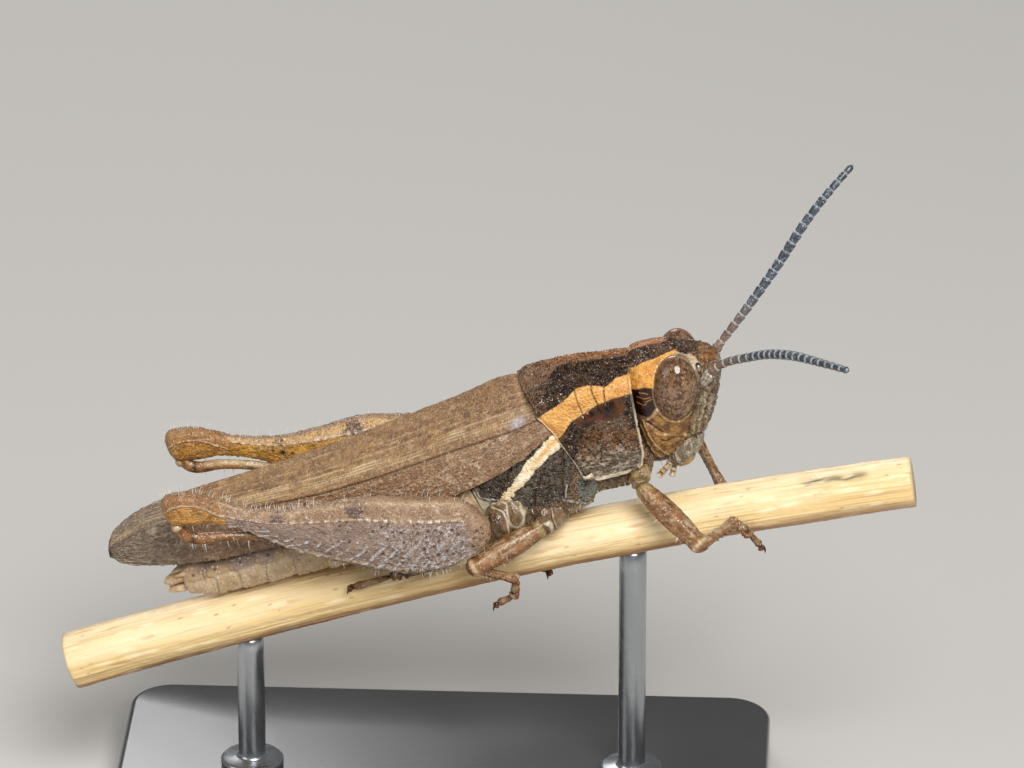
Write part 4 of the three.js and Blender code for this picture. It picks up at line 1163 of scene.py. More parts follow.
@dataclass
class NeckShield:
    """The pronotum: a saddle over the front of the thorax."""

    # x, height of the ridge and half width
    rows: Rows = ((9.3, 5.66, 1.45), (8.2, 5.84, 1.52), (7.0, 5.98, 1.6), (6.0, 6.04, 1.72),
                  (5.0, 6.0, 1.86), (4.1, 5.93, 1.9))
    low: float = 1.0
    section: Rows = ((0, 1), (0.42, 0.87), (0.86, 0.72), (0.97, 0.5), (1, -0.1), (0.97, -0.7),
                     (0.88, -1), (0, -1))
    # x of the front and rear margins at each height of the side, and over the top by breadth
    front: Rows = ((1.8, 7.75), (1.95, 8.1), (2.35, 8.26), (4.6, 8.42), (5.35, 8.5))
    rear: Rows = ((1.76, 6.25), (1.95, 5.98), (2.5, 5.85), (3.9, 5.4), (4.5, 5.1), (4.72, 4.95))
    thickness: float = 0.09
    density: tuple[int, int] = (150, 300)    # points along and across
    overlap: float = 0.19            # how far the saddle wraps past its sides, in half turns
    floor: float = 1.77              # height of the side's lower margin
    rounding: int = 6                # passes that settle the margins on the section

    def margins(self, side: Array, z: Array) -> tuple[Array, Array]:
        """Front and rear margin x, for a place on the section by breadth and height."""
        over = ease(z, 4.6, 5.35)
        front = np.interp(z, *zip(*self.front)) + 0.5 * ease(0.9 - side, 0, 0.9) * over
        rear_low = np.interp(z, *zip(*self.rear))
        rear_top = 4.45 + 0.5 * (np.minimum(side, 1.75) / 1.75) ** 1.6
        return front, rear_low * (1 - over) + rear_top * over

    def build(self) -> None:
        """Makes the shield as a thin saddle with its relief and marks."""
        turn = np.linspace(-self.overlap, 1 + self.overlap, self.density[1]) * math.pi
        a, b = drawn_outline(self.section)(turn)
        s = np.linspace(0, 1, self.density[0])[:, None]
        s = 0.35 * s + 0.65 * (1 - np.cos(math.pi * s)) / 2
        x = np.full(self.density, 6.5)
        for _ in range(self.rounding):
            row = np.stack([np.interp(-x, [-r[0] for r in self.rows], [r[k] for r in self.rows])
                            for k in (1, 2)])
            y = a[None] * row[1]
            z = (row[0] + self.low) / 2 + b[None] * (row[0] - self.low) / 2
            z = np.maximum(z, self.low)
            front, rear = self.margins(np.abs(y), z)
            x = front + (rear - front) * s
        floor = self.floor + 0.12 * hump(s, 0, 0.08) + 0.2 * hump(s, 1, 0.1)
        z = z + ease(2.6 - z, 0, 0.8) * (floor - z) * (z < floor)
        grid = Grid(np.stack([x, y, z], -1), wraps=False)
        self.carve(grid, s)
        dress(grid.shape(Ends.SHELL, self.thickness), "neck_shield", SHIELD_CHITIN, "pronotum")

    def carve(self, grid: Grid, s: Array) -> None:
        """Raises the shield's relief and marks its bands."""
        p = grid.points
        x, y, z = np.moveaxis(p, -1, 0)
        side = np.abs(y)
        warp = 0.05 * noise(p, 0.5, seed=21)
        sulci = strokes(x + warp, z, (
            [(6.5, 6.1), (6.5, 5.37), (6.55, 4.39), (6.62, 4.1)],
            [(7.02, 6.1), (7.09, 5.54), (7.2, 4.63), (7.22, 4.3)],
            [(7.66, 6.1), (7.63, 5.56), (7.5, 4.71), (7.55, 4.3)]), 0.05)
        sulci *= 1 - 0.5 * ease(z, 5.3, 5.5)
        lobe_lines = strokes(x + warp, z, (
            [(6.62, 4.1), (6.75, 3.4), (7.05, 2.7)], [(7.3, 4.1), (7.4, 3.4), (7.7, 2.7)],
            [(7.7, 4.2), (7.72, 3.5), (7.95, 2.9)], [(7.0, 3.2), (6.7, 2.4)],
            [(6.2, 3.9), (6.35, 3.2), (6.6, 2.6)]), 0.07)
        callus = patch(x, z, [(6.3, 4.28), (6.6, 4.4), (7.16, 4.61), (7.74, 4.69), (8.2, 4.7),
                              (8.15, 4.2), (7.8, 3.95), (7.4, 3.86), (7.02, 4.02), (6.6, 3.82),
                              (6.25, 3.95)], 0.14)
        bumps = dot(x, z, (7.42, 4.32), 0.3) + dot(x, z, (6.68, 4.2), 0.24)
        front_rim = hump(s, 0.003, 0.007)
        rear_rim = hump(s, 0.997, 0.008)
        low_rim = ease(1.9 - z, 0, 0.09)
        rims = np.clip(front_rim + rear_rim + low_rim, 0, 1)
        median = hump(side, 0, 0.09)
        wrinkle = ease(ridged(p, (0.3, 0.3, 0.16), seed=22), 0.6, 1)
        low_lobe = ease(4.0 - z, 0, 0.8)
        grain, _, lot = cells(p, 0.1, seed=23)
        granules = ease(0.62 - grain, 0, 0.5)
        smooth = np.clip(callus + rims, 0, 1)
        grid.raised(
            0.03 * noise(p, 0.6, seed=24, octaves=3)
            - 0.06 * sulci - 0.03 * lobe_lines * low_lobe + 0.12 * bumps * smooth
            + 0.05 * median + 0.03 * wrinkle * low_lobe * (1 - smooth)
            + 0.05 * granules * (1 - smooth) * (0.45 + 0.55 * lot)
            + 0.06 * front_rim + 0.03 * rear_rim + 0.03 * low_rim - 0.1 * ease(s, 0.93, 1.0)
        )
        band = patch(x, z, [(8.9, 5.32), (8.03, 5.3), (7.64, 5.16), (7.04, 5.33), (6.53, 5.34),
                            (6.24, 5.17), (5.7, 4.94), (5.17, 4.78), (4.9, 4.6), (5.29, 3.57),
                            (5.69, 3.85), (6.11, 4.24), (6.55, 4.39), (7.16, 4.61),
                            (7.74, 4.69), (8.9, 4.72)], 0.08)
        above = (z > 4.9) & (side < 1.6)
        spread = ease(6.2 - x, 0, 1.2)   # the dark of the disc draws apart towards the rear
        grid.mark(
            band=band,
            disc=ease(z, 4.75, 5.0) * (1 - band),
            disc_dark=ease(z, 4.7, 4.8) * (1 - band) * (0.45 + 0.55 * ease(x, 4.9, 6.3))
            * ease(side, 0.15 + 0.6 * spread, 0.5 + 0.7 * spread),
            median=(1 - ease(side, 0.1, 0.34)) * ease(x, 5.0, 6.2) * above,
            shade=np.clip(patch(x, z, [(6.1, 4.2), (5.69, 3.8), (5.3, 3.4), (5.7, 2.7), (6.2, 3.1),
                                       (6.5, 3.9), (6.5, 4.3)], 0.5)
                          + patch(x, z, [(8.5, 4.72), (7.6, 4.7), (7.9, 4.1), (8.1, 3.4),
                                         (8.5, 3.2)], 0.35) * 0.8, 0, 1),
            callus=callus,
            sulcus=np.clip(sulci + 0.7 * lobe_lines * low_lobe, 0, 1),
            amber=ease(4.2 - z, 0, 0.3) * ease(z, 2.1, 3.0)
            * np.clip(noise(p, 0.6, seed=25) * 0.7 + 0.75, 0, 1),
            pale_lines=wrinkle * low_lobe * ease(3.6 - z, 0, 1.2),
            rim=np.clip(front_rim * (0.2 + 0.6 * ease(4.4 - z, 0, 0.8))
                        + rear_rim * ease(4.8 - z, 0, 0.3) * 0.8 + low_rim * 0.8, 0, 1),
            smooth=np.clip(smooth + 0.65 * band, 0, 1),
        )


@dataclass
class Thorax:
    """The hard box behind the shield that carries the wings and the four rear legs."""

    # x, top and bottom height, half width
    rows: Rows = ((8.45, 2.3, 0.9, 0.75), (7.7, 3.2, 0.65, 1.1), (6.6, 4.6, 0.42, 1.4),
                  (5.4, 5.2, 0.22, 1.62), (4.0, 5.15, 0.12, 1.62), (2.9, 4.85, 0.1, 1.54),
                  (1.9, 4.5, 0.12, 1.45))
    density: tuple[int, int] = (250, 310)    # points along and around

    def build(self) -> None:
        """Makes the box with its sutures, granules and pale oblique band."""
        grid = Limb(trunk_rows(self.rows), outline=drawn_outline(TRUNK_SECTION),
                    along=self.density[0], around=self.density[1]).grid()
        p = grid.points
        x, y, z = np.moveaxis(p, -1, 0)
        side = np.abs(y)
        warp = 0.04 * noise(p, 0.4, seed=31)
        band_line = [(5.6, 3.8), (5.28, 3.57), (4.89, 3.34), (4.43, 2.97), (3.81, 2.46),
                     (3.32, 2.03), (2.72, 1.48)]
        ragged = 0.13 * noise(p, 0.2, seed=36)
        band = stroke(x + warp * 0.9 + ragged, z, band_line, 0.56, 0.32)
        heart = stroke(x, z, band_line, 0.2, 0.12) * ease(z, 2.5, 3.4)
        seams = strokes(x + warp, z, (
            [(5.5, 3.1), (5.32, 2.4), (5.0, 1.25)], [(3.75, 3.4), (3.2, 2.5), (2.66, 1.78)],
            [(4.6, 2.5), (4.2, 1.9), (3.9, 1.2)], [(6.3, 2.6), (6.1, 1.9), (5.9, 1.5)]), 0.1)
        rims = strokes(x, z, (
            [(2.4, 1.7), (2.7, 1.35), (3.0, 1.18), (3.6, 1.0)],
            [(5.0, 1.2), (5.45, 0.9), (5.9, 0.6)],
            [(2.02, 2.4), (2.1, 2.02), (2.4, 1.84), (2.62, 1.8)],
            [(5.3, 1.8), (5.2, 1.55), (5.12, 1.3)]), 0.07)
        plate = patch(x, z, [(5.78, 1.95), (6.3, 1.8), (6.35, 1.0), (5.75, 0.75), (5.55, 1.3)], 0.1)
        membrane = patch(x, z, [(1.4, 2.4), (2.0, 2.3), (2.1, 1.95), (2.4, 1.75), (2.5, 1.2),
                                (1.4, 1.2)], 0.15)
        hollow = stroke(x, z, [(2.5, 1.8), (2.66, 1.5), (3.0, 1.3)], 0.06)
        grain, _, lot = cells(p, 0.11, seed=33)
        granules = ease(0.62 - grain, 0, 0.5)
        height = (
            0.04 * noise(p, 0.7, seed=34, octaves=3) - 0.07 * seams + 0.05 * band
            + 0.06 * rims + 0.03 * plate - 0.1 * hollow
            + 0.05 * granules * (0.4 + 0.6 * lot) * (1 - 0.7 * band) * (1 - membrane)
        )
        grid.raised(height * grid.fade(0.02))
        under = ease(1.0 - z, 0, 0.5) * ease(0.9 - side, -0.6, 0.3)
        slate = patch(x, z, [(5.75, 3.7), (5.0, 3.7), (3.9, 3.6), (3.0, 3.2), (2.2, 2.5),
                             (2.1, 2.0), (2.6, 1.7), (2.7, 1.4), (3.1, 1.2), (3.6, 1.1),
                             (4.4, 1.1), (5.2, 1.3), (5.75, 2.4)], 0.25)
        grid.mark(
            band=band, band_heart=heart, seam=seams, rim=rims, plate=plate,
            membrane=np.clip(membrane - hollow, 0, 1), shadow=hollow,
            slate=slate * (0.7 + 0.4 * noise(p, 0.4, seed=35)), belly=under,
            smooth=np.clip(rims + membrane + 0.75 * band, 0, 1),
            brown=ease(3.4 - z, -0.4, 0.5) * (1 - slate) * 0.8,
            hair=ease(1.5 - z, 0, 0.5),
        )
        dress(grid.shape(), "thorax_box", SIDE_CHITIN, "thorax")


# ------------------------------------------------------------------ wings and abdomen

# Fore-wing membrane: leathery, veined chitin; dull, with a fine net of raised veins.
WING_MEMBRANE = Finish(
    name="wing_membrane", slot="wing", colour="#835d41", mottle="#6a4a34", size=0.35,
    fleck="#c9a982", fleck_size=0.085, fleck_amount=0.26, pit="#4a3423", pit_amount=0.3,
    rough=0.4, fleck_strength=0.5, grain=0.012, grain_size=0.05, granule=0.014,
    layers=(
        Layer("above", "#937048", "#76573a", 0.3, strength=0.9),
        Layer("base_tint", "#85603f", "#6c4c33", 0.25),
        Layer("tip", "#77685a", "#5f5044", 0.2),
        Layer("net", "#bda079", "#9a7d58", 0.15, strength=0.45),
        Layer("white_net", "#d9ccb8", "#a58c70", 0.15, strength=0.68),
        Layer("spots", "#523c29", "#6b5138", 0.1, strength=0.7, ragged=0.2),
        Layer("vein", "#dcc296", "#a98a5e", 0.5, strength=0.85),
        Layer("fold", "#43301f", strength=0.9),
        Layer("margin", "#3a2b1d", strength=0.85),
        # painted glint: a bluish-white spot where light catches the fore wing near its base
        Layer("pearl", "#b9b1b4", "#8f8688", 0.08),
    ),
)
# Hind wings: thin membrane in a tight fan; smoky and smooth.
FAN_MEMBRANE = Finish(
    name="fan_membrane", slot="wing", colour="#6b5a48", mottle="#57483a", size=0.3, rough=0.4,
    layers=(Layer("vein", "#3f3226", strength=0.7),),
)
# Abdomen: flexible chitin rings; soft satin, cream clouded with grey violet, with painted shade
# along the top.
BELLY_CHITIN = Finish(
    name="belly_chitin", slot="belly", colour="#c6a77f", mottle="#ab8b6a", size=0.35,
    fleck="#eaddc6", pit="#7c6660", fleck_size=0.1, fleck_amount=0.3, pit_amount=0.3, rough=0.4,
    grain=0.01, granule=0.008, see_through=0.08,
    layers=(
        Layer("grey", "#85716c", "#a08c84", 0.2, ragged=0.25, strength=0.75),
        Layer("under", "#d3bd97", "#b99b72", 0.3),
        # painted shade: the abdomen's top, darkened where the wings and thighs shade it
        Layer("dorsum", "#5a4433", "#3c2d22", 0.25),
        Layer("seam", "#6b4b31", strength=0.45),
        Layer("tip", "#dcc39c", "#c09a6c", 0.2),
        Layer("dark", "#2e1c12"),
    ),
)


@dataclass
class Wings:
    """The folded fore wings and the fan of hind wings under them."""

    # x, ridge height, then y and z of the fold, then y and z of the lower edge
    rows: Rows = (
        (5.4, 5.62, 1.5, 4.62, 1.6, 3.95), (4.0, 5.84, 1.72, 4.42, 1.84, 3.26),
        (2.0, 5.45, 1.76, 4.22, 1.87, 2.6), (-0.5, 5.05, 1.7, 3.87, 1.8, 2.2),
        (-3.0, 4.66, 1.55, 3.58, 1.66, 1.95), (-6.0, 4.3, 1.28, 3.45, 1.36, 1.76),
        (-8.8, 4.0, 0.92, 3.38, 1.0, 1.68), (-10.4, 3.72, 0.66, 3.2, 0.7, 1.8),
        (-11.2, 3.36, 0.54, 2.95, 0.56, 1.98), (-11.6, 3.08, 0.46, 2.8, 0.48, 2.2),
        (-11.8, 2.8, 0.4, 2.62, 0.42, 2.4),
    )
    fold: float = 0.45               # share of the breadth that lies above the fold
    seam: float = 0.02               # half the gap between the wings along the ridge
    thickness: float = 0.07
    density: tuple[int, int] = (365, 122)    # points along and across a fore wing
    # place across the wing, drift towards the tip and power of each lengthwise vein
    veins: Rows = (
        (0.1, 0.0, 0.5), (0.19, 0.01, 0.5), (0.26, 0.01, 0.6), (0.31, 0.02, 1.0),
        (0.333, 0.02, 1.0), (0.356, 0.02, 1.0), (0.38, 0.02, 1.0), (0.404, 0.02, 0.8),
        (0.54, 0.03, 0.5), (0.66, 0.05, 0.5), (0.8, 0.04, 0.5), (0.92, 0.0, 0.5),
    )
    fan_start: float = 0.38          # share of the fore wing where the fan begins
    fan_run: float = 0.58            # and how much of it the fan takes up
    fan_breadth: float = 0.4
    fan_inset: float = 0.45          # how far its sides keep inside the fore wings
    fan_drop: float = 0.5            # how far it lies under them
    fan_thickness: float = 0.12
    pleat_height: float = 0.05
    pleats: float = 34.0             # radians of pleating from the middle to a side

    def face(self, u: Array, v: Array) -> Array:
        """Points of the left fore wing: u from base to tip, v from ridge to lower edge."""
        rows = [(row[0], 0, 0, *row[1:]) for row in self.rows]
        x, _, _, ridge, fold_y, fold_z, low_y, low_z = read_rows(rows, u).T[:, :, None]
        v = v[None, :]
        t = np.clip(v / self.fold, 0, 1)
        swell = 0.07 * np.sin(math.pi * t) * (fold_y - self.seam)
        upper_y = self.seam + (fold_y - self.seam) * t + swell / 2
        upper_z = ridge + (fold_z - ridge) * t + swell
        t = np.clip((v - self.fold) / (1 - self.fold), 0, 1)
        lower_y = fold_y + (low_y - fold_y) * t + 0.06 * np.sin(math.pi * t)
        lower_z = fold_z + (low_z - fold_z) * t
        above = v < self.fold
        return np.stack([np.broadcast_to(x, upper_y.shape), np.where(above, upper_y, lower_y),
                         np.where(above, upper_z, lower_z)], -1)

    def build(self) -> None:
        """Makes both fore wings and the folded fan."""
        for name, side in SIDES.items():
            self.build_fore_wing(name, side)
        self.build_fan()

    def build_fore_wing(self, name: str, side: int) -> None:
        """One fore wing: a thin bent plate with lengthwise veins and a net between them."""
        u, v = (np.linspace(0, 1, count) for count in self.density)
        points = self.face(u, v)
        points[..., 1] *= side
        grid = Grid(points, wraps=False)
        uu, vv = np.meshgrid(u, v, indexing="ij")
        broad = np.diff(points[120], axis=0)     # steps across the wing where it is broadest
        across = np.concatenate([[0], np.cumsum(np.linalg.norm(broad, axis=1))])
        x = points[..., 0]
        flat = np.stack([x, np.broadcast_to(across, uu.shape), np.zeros_like(uu)], -1)
        warp = 0.012 * noise(flat, (1.5, 0.4, 1), seed=41)
        veins = np.zeros_like(uu)
        for place, drift, power in self.veins:
            veins = np.maximum(veins, power * hump(vv + warp * 0.6 + drift * uu, place, 0.0065))
        veins *= np.clip(0.6 + 1.2 * noise(flat, (1.6, 0.15, 1), seed=48), 0.1, 1)
        fold = hump(vv, self.fold + 0.012, 0.012)
        crease = hump(vv, self.fold - 0.02, 0.02)
        _, gap, _ = cells(flat, (0.2, 0.12, 1), seed=42)
        net = 1 - ease(gap, 0.0, 0.22)
        drawn_out = flat / np.stack([1 + 1.4 * ease(-x, -1, 8), 1 + 0 * x, 1 + 0 * x], -1)
        _, gap, _ = cells(drawn_out, (0.17, 0.2, 1), seed=43)
        wide_net = 1 - ease(gap, 0.0, 0.16)
        tip = ease(-x, 7.6, 10.2)
        below = ease(vv, self.fold, self.fold + 0.05)
        blots, _, blot = cells(flat, (0.55, 0.42, 1), seed=44)
        spots = (ease(0.42 - blots, 0, 0.16) * (blot > 0.45)
                 * (hump(vv, 0.3, 0.16) * 0.9 + 0.5 * below) * (1 - 0.7 * tip))
        edge = np.minimum(np.minimum(1 - uu, 1 - vv), vv + 0.05)
        bow = 0.03 * noise(flat, (2.0, 0.8, 1), seed=45)
        grid.raised(0.035 * veins + 0.012 * net * (1 - below) + 0.022 * wide_net * below
                    - 0.05 * fold + 0.03 * crease + bow + 0.015 * noise(flat, 0.12, seed=46)
                    + 0.03 * tip * wide_net)
        grid.mark(
            above=(1 - below) * (1 - tip) * ease(4.6 - x, 0, 1.2),
            base_tint=ease(x, -1.5, 3.5) * (1 - below),
            tip=tip, net=net * (1 - 0.6 * tip), vein=veins * (1 - 0.5 * below),
            white_net=wide_net * np.clip(below * (1 - 0.3 * uu) + tip, 0, 1)
            * (0.55 + 0.45 * noise(flat, 0.6, seed=47)),
            spots=spots, fold=fold * ease(0.86 - uu, 0, 0.3),
            margin=(1 - ease(edge, 0.0, 0.012)) * np.clip(tip + below * 0.4, 0, 1),
            # painted glint near the wing's base
            pearl=dot((x - 4.22) / 1.6, (vv - 0.41) * 4, (0, 0), 0.16),
        )
        dress(grid.shape(Ends.SHELL, self.thickness), f"fore_wing_{name}", WING_MEMBRANE,
              f"tegmen_{name}")

    def build_fan(self) -> None:
        """The hind wings, pleated under the fore wings' roof."""
        u = np.linspace(self.fan_start, self.fan_start + self.fan_run, 100)
        out = np.linspace(-1, 1, 101)
        x, y, z = np.moveaxis(self.face(u, np.abs(out) * self.fan_breadth), -1, 0)
        half = np.maximum(0.12, y - self.fan_inset)
        pleat = self.pleat_height * np.sin(out * self.pleats)
        grid = Grid(np.stack([x, out * half, z - self.fan_drop + pleat[None]], -1), wraps=False)
        grid.mark(vein=ease(np.cos(out * self.pleats)[None], 0.7, 1.0))
        dress(grid.shape(Ends.SHELL, self.fan_thickness), "hind_wing_fan", FAN_MEMBRANE,
              "hindwings_folded")


@dataclass
class Abdomen:
    """The tapering rear of the body: ten overlapping rings and the egg-laying valves."""

    # x, top and bottom height, half width
    rows: Rows = ((1.86, 4.1, 0.12, 1.42), (0, 3.22, 0.1, 1.42), (-2, 2.8, 0.1, 1.4),
                  (-4, 2.55, 0.1, 1.3), (-6, 2.32, 0.04, 1.15), (-7.8, 1.98, -0.04, 0.95),
                  (-9.0, 1.56, 0.02, 0.7), (-9.45, 1.34, 0.14, 0.52))
    joints: tuple[float, ...] = (0.9, -0.4, -1.7, -3.0, -4.3, -5.5, -6.6, -7.6, -8.5)
    density: tuple[int, int] = (310, 140)    # points along and around

    def build(self) -> None:
        """Makes the rings and the tip."""
        self.build_rings()
        self.build_tip()

    def build_rings(self) -> None:
        """One closed body whose rings step over one another from front to rear."""
        grid = Limb(trunk_rows(self.rows), outline=drawn_outline(TRUNK_SECTION),
                    along=self.density[0], around=self.density[1]).grid()
        p = grid.points
        x, _, z = np.moveaxis(p, -1, 0)
        middle = (z.max(axis=1) + z.min(axis=1))[:, None] / 2
        low = ease(middle - z, -0.1, 0.15)
        ring, joint, spiracle = (np.zeros_like(x) for _ in range(3))
        for place in self.joints:
            slant = place + 0.12 * (z - 1) + 0.35 * low
            behind = ease(slant - x, 0, 0.02)
            ring += behind * np.exp(-np.clip(slant - x, 0, None) / 0.35)
            joint = np.maximum(joint, hump(x, slant - 0.03, 0.04))
            spiracle = np.maximum(spiracle, dot(x - place, z - middle, (-0.55, 0.25), 0.06))
        folds = noise(p, (0.16, 0.5, 0.6), seed=51, octaves=3)
        height = -0.06 * ring + 0.035 * folds + 0.012 * noise(p, 0.1, seed=52) - 0.04 * spiracle
        height -= 0.05 * hump(z, middle - 0.02, 0.05) * ease(-x, -1.5, 0)
        grid.raised(height * grid.fade(0.02))
        cloud = noise(p, 0.55, seed=53, octaves=3)
        grid.mark(
            grey=ease(cloud + 0.6 * folds, 0.0, 0.45),
            # painted shade along the top of the rings, fading out towards the tip
            under=low * 0.7, dorsum=ease(z - middle, 0.0, 0.6) * ease(x, -9.3, -8) * 0.9,
            seam=joint, dark=spiracle, hair=0.3 + 0.7 * low,
        )
        dress(grid.shape(), "abdomen_rings", BELLY_CHITIN, "abdomen_front", "abdomen_middle",
              "abdomen_rear", "abdomen_tip")

    def build_tip(self) -> None:
        """The four valves, the plate over them and the two short cerci."""
        shapes = []
        for side in SIDES.values():
            for rows in (
                ((-9.3, 0.16, 0.9, 0.17, 0.2), (-9.7, 0.17, 0.84, 0.17, 0.18),
                 (-10.05, 0.15, 0.78, 0.14, 0.14), (-10.24, 0.14, 0.77, 0.06, 0.07)),
                ((-9.3, 0.14, 0.48, 0.15, 0.18), (-9.7, 0.15, 0.43, 0.15, 0.15),
                 (-10.0, 0.13, 0.42, 0.12, 0.12), (-10.17, 0.12, 0.4, 0.05, 0.06)),
                ((-9.3, 0.4, 1.1, 0.09, 0.1), (-9.5, 0.46, 1.1, 0.09, 0.1),
                 (-9.75, 0.46, 1.06, 0.03, 0.03)),
            ):
                grid = Limb(mirrored(rows, side), along=24, around=20).grid()
                grid.raised(0.01 * noise(grid.points, 0.12, seed=54))
                grid.mark(tip=1.0 - 0.3 * ease(grid.t, 0.2, 0.6), dark=0.35 * ease(grid.t, 0.93, 1))
                shapes.append(grid.shape())
        plate = Limb([(-9.3, 0, 1.22, 0.3, 0.1), (-9.6, 0, 1.15, 0.24, 0.09),
                      (-9.85, 0, 1.05, 0.1, 0.06), (-9.95, 0, 1.0, 0.03, 0.03)],
                     along=24, around=24).grid()
        plate.mark(tip=0.8)
        shapes.append(plate.shape())
        dress(Shape.join(shapes), "egg_valves", BELLY_CHITIN)


# ------------------------------------------------------------------ legs

# Leg chitin: thin tanned shell over amber flesh; semi-gloss, a little see-through.
LEG_CHITIN = Finish(
    name="leg_chitin", slot="leg", colour="#926640", mottle="#6f4826", size=0.25,
    fleck="#d6c3a6", fleck_size=0.08, fleck_amount=0.18, pit="#3c220f", pit_amount=0.2, rough=0.2,
    grain=0.008, granule=0.008, see_through=0.14,
    layers=(
        Layer("green", "#b5a670", "#9b8b55", 0.3, strength=0.9),
        Layer("streak", "#c9b496", "#a08258", 0.12, strength=0.55),
        Layer("dark", "#5a3518", "#3c210e", 0.15, strength=0.7),
        Layer("knee", "#97683a", "#774a22", 0.15, strength=0.8),
        Layer("pale", "#d9c7a4", "#b99c6d", 0.15),
        Layer("seam", "#3b2210", strength=0.85),
    ),
)
# Thigh chitin: thick ribbed shell; taupe with pale ridges, grey-blue-white on the lower half as
# painted highlights.
THIGH_CHITIN = Finish(
    name="thigh_chitin", slot="leg", colour="#9b7c60", mottle="#86694f", size=0.35,
    fleck="#c2ad98", pit="#4d3a2e", fleck_size=0.085, fleck_amount=0.26, pit_amount=0.3,
    fleck_strength=0.5, rough=0.36, grain=0.014, granule=0.02,
    layers=(
        Layer("inner", "#9a6c24", "#bd8a38", 0.4, rough=0.3),
        Layer("upper", "#cfa873", "#b58f60", 0.3, strength=0.9),
        Layer("ribbed", "#8d786b", "#78665e", 0.25),
        # ribs: pale ridges, their bluish-white on the lower half a painted highlight
        Layer("ribs", "#c3c2c6", "#988f90", 0.12, strength=0.7, ragged=0.1),
        Layer("knee", "#986a38", "#835527", 0.2, strength=0.85),
        Layer("lobe", "#b5823c", "#8f622a", 0.2, rough=0.25),
        Layer("bars", "#58433f", "#3f302d", 0.12, ragged=0.3, strength=0.85),
        Layer("pits", "#2c221d", strength=0.8),
        Layer("carina", "#ece2d4", "#a8927a", 0.09, strength=0.9),
        Layer("line", "#ccb391", "#a88c68", 0.12, strength=0.8),
        Layer("black", "#120c08"),
    ),
)
# Hip skin: soft chitin in folds between the hard rings; brown and moist, pale on its folds.
HIP_SKIN = Finish(
    name="hip_skin", slot="shell", colour="#70573d", mottle="#54402a", size=0.2,
    fleck="#c9b595", fleck_size=0.08, fleck_amount=0.25, pit="#24160c", pit_amount=0.3, rough=0.24,
    grain=0.012, granule=0.012, see_through=0.1,
    layers=(
        Layer("membrane", "#93795a", "#7a6146", 0.15, strength=0.8),
        Layer("seam", "#33210f", "#4a3018", 0.15, strength=0.85),
        Layer("rim", "#d8ccb6", "#ad9878", 0.12, strength=0.8),
    ),
)
# Spine and claw horn: dense dark chitin, polished by wear.
CLAW_HORN = Finish(
    name="claw_horn", slot="leg", colour="#4a2a12", mottle="#2c1709", size=0.1, rough=0.2,
    layers=(Layer("tip", "#0f0a08"), Layer("pad", "#7d4f24", "#5c3717", 0.1)),
)


def stretch_of(start: Sequence[float], end: Sequence[float],
               sizes: Sequence[tuple[float, float]], bow: Sequence[float] = (0, 0, 0)) -> list:
    """Rows of a straight or slightly bowed limb.

    Args:
        start, end: joint centres.
        sizes: pairs of share along and half thickness.
        bow: how far the middle is pushed aside, mm.

    Returns:
        Rows of x, y, z and half thickness across and up.
    """
    a, b, c = (np.array(v, float) for v in (start, end, bow))
    return [(*(a + (b - a) * t + c * 4 * t * (1 - t)), half, half * 1.08) for t, half in sizes]


def horn(root: Sequence[float], tip: Sequence[float], thick: float,
         bend: Sequence[float] = (0, 0, 0)) -> Shape:
    """A small curved spine or claw that tapers to a point."""
    rows = stretch_of(root, tip, ((0, thick), (0.35, thick * 0.85), (0.75, thick * 0.5),
                                  (1, thick * 0.08)), bend)
    grid = Limb(rows, up=(0.31, 0.2, 0.93), along=9, around=8).grid()
    grid.mark(tip=ease(grid.t, 0.35, 0.8))
    return grid.shape()


def pad_of(start: Array, end: Array, halves: Sequence[float], density: tuple[int, int]) -> Shape:
    """A soft cushion under a foot.

    Args:
        start, end: where it begins and ends.
        halves: four half thicknesses along it, mm.
        density: points along and around.

    Returns:
        The closed shape, marked as pad.
    """
    rows = stretch_of(start, end, list(zip((0, 0.3, 0.7, 1), halves)))
    return Limb(rows, along=density[0], around=density[1]).grid().mark(pad=1.0).shape()


@cache
def spine_tree() -> NodeTree:
    """A tree that stands a curved tapering spine on each point, along the point's reach."""
    tree = NodeTree("spines", {"Taper": ("NodeSocketFloat", 0.08),
                               "Bend": ("NodeSocketFloat", 0.6)})
    reach, half = tree.named("reach", "FLOAT_VECTOR").outputs[0], tree.named("half").outputs[0]
    length = tree.node("ShaderNodeVectorMath", {0: reach}, operation="LENGTH").outputs["Value"]
    turn = tree.out("FunctionNodeAlignRotationToVector", {"Vector": reach}, axis="Z")
    scale = tree.out("ShaderNodeCombineXYZ", {"X": half, "Y": half, "Z": length})
    cone = tree.out("GeometryNodeMeshCone", {
        "Vertices": 9, "Side Segments": 7, "Radius Top": tree.given["Taper"],
        "Radius Bottom": 1.0, "Depth": 1.0})
    height = tree.height()
    lean = tree.math("MULTIPLY", tree.math("POWER", height, 2.0), tree.given["Bend"])
    offset = tree.out("ShaderNodeCombineXYZ", {"X": lean})
    spine = tree.out("GeometryNodeSetPosition", {"Geometry": cone, "Offset": offset})
    spine = tree.store(spine, "tip", height)
    tree.grow_on(tree.given["Geometry"], spine, turn, scale, CLAW_HORN)
    return tree


def grow_spines(spines: list[tuple[Array, Array, float]], name: str) -> None:
    """Grows spines from their roots, tips and half thicknesses.

    Args:
        spines: root, tip (body frame) and half thickness, mm.
        name: the piece's name.
    """
    roots, tips, halves = (np.array(column, float) for column in zip(*spines))
    start = to_frame(roots)
    mesh = bpy.data.meshes.new(name)
    mesh.from_pydata(start.tolist(), [], [])
    for label, kind, key, values in (("reach", "FLOAT_VECTOR", "vector", to_frame(tips) - start),
                                     ("half", "FLOAT", "value", halves * MM)):
        mesh.attributes.new(label, kind, "POINT").data.foreach_set(
            key, np.asarray(values, np.float32).ravel())
    piece = spine_tree().grow(linked(name, mesh), name, taper=0.08, bend=0.6)
    place_piece(piece, CLAW_HORN.slot)


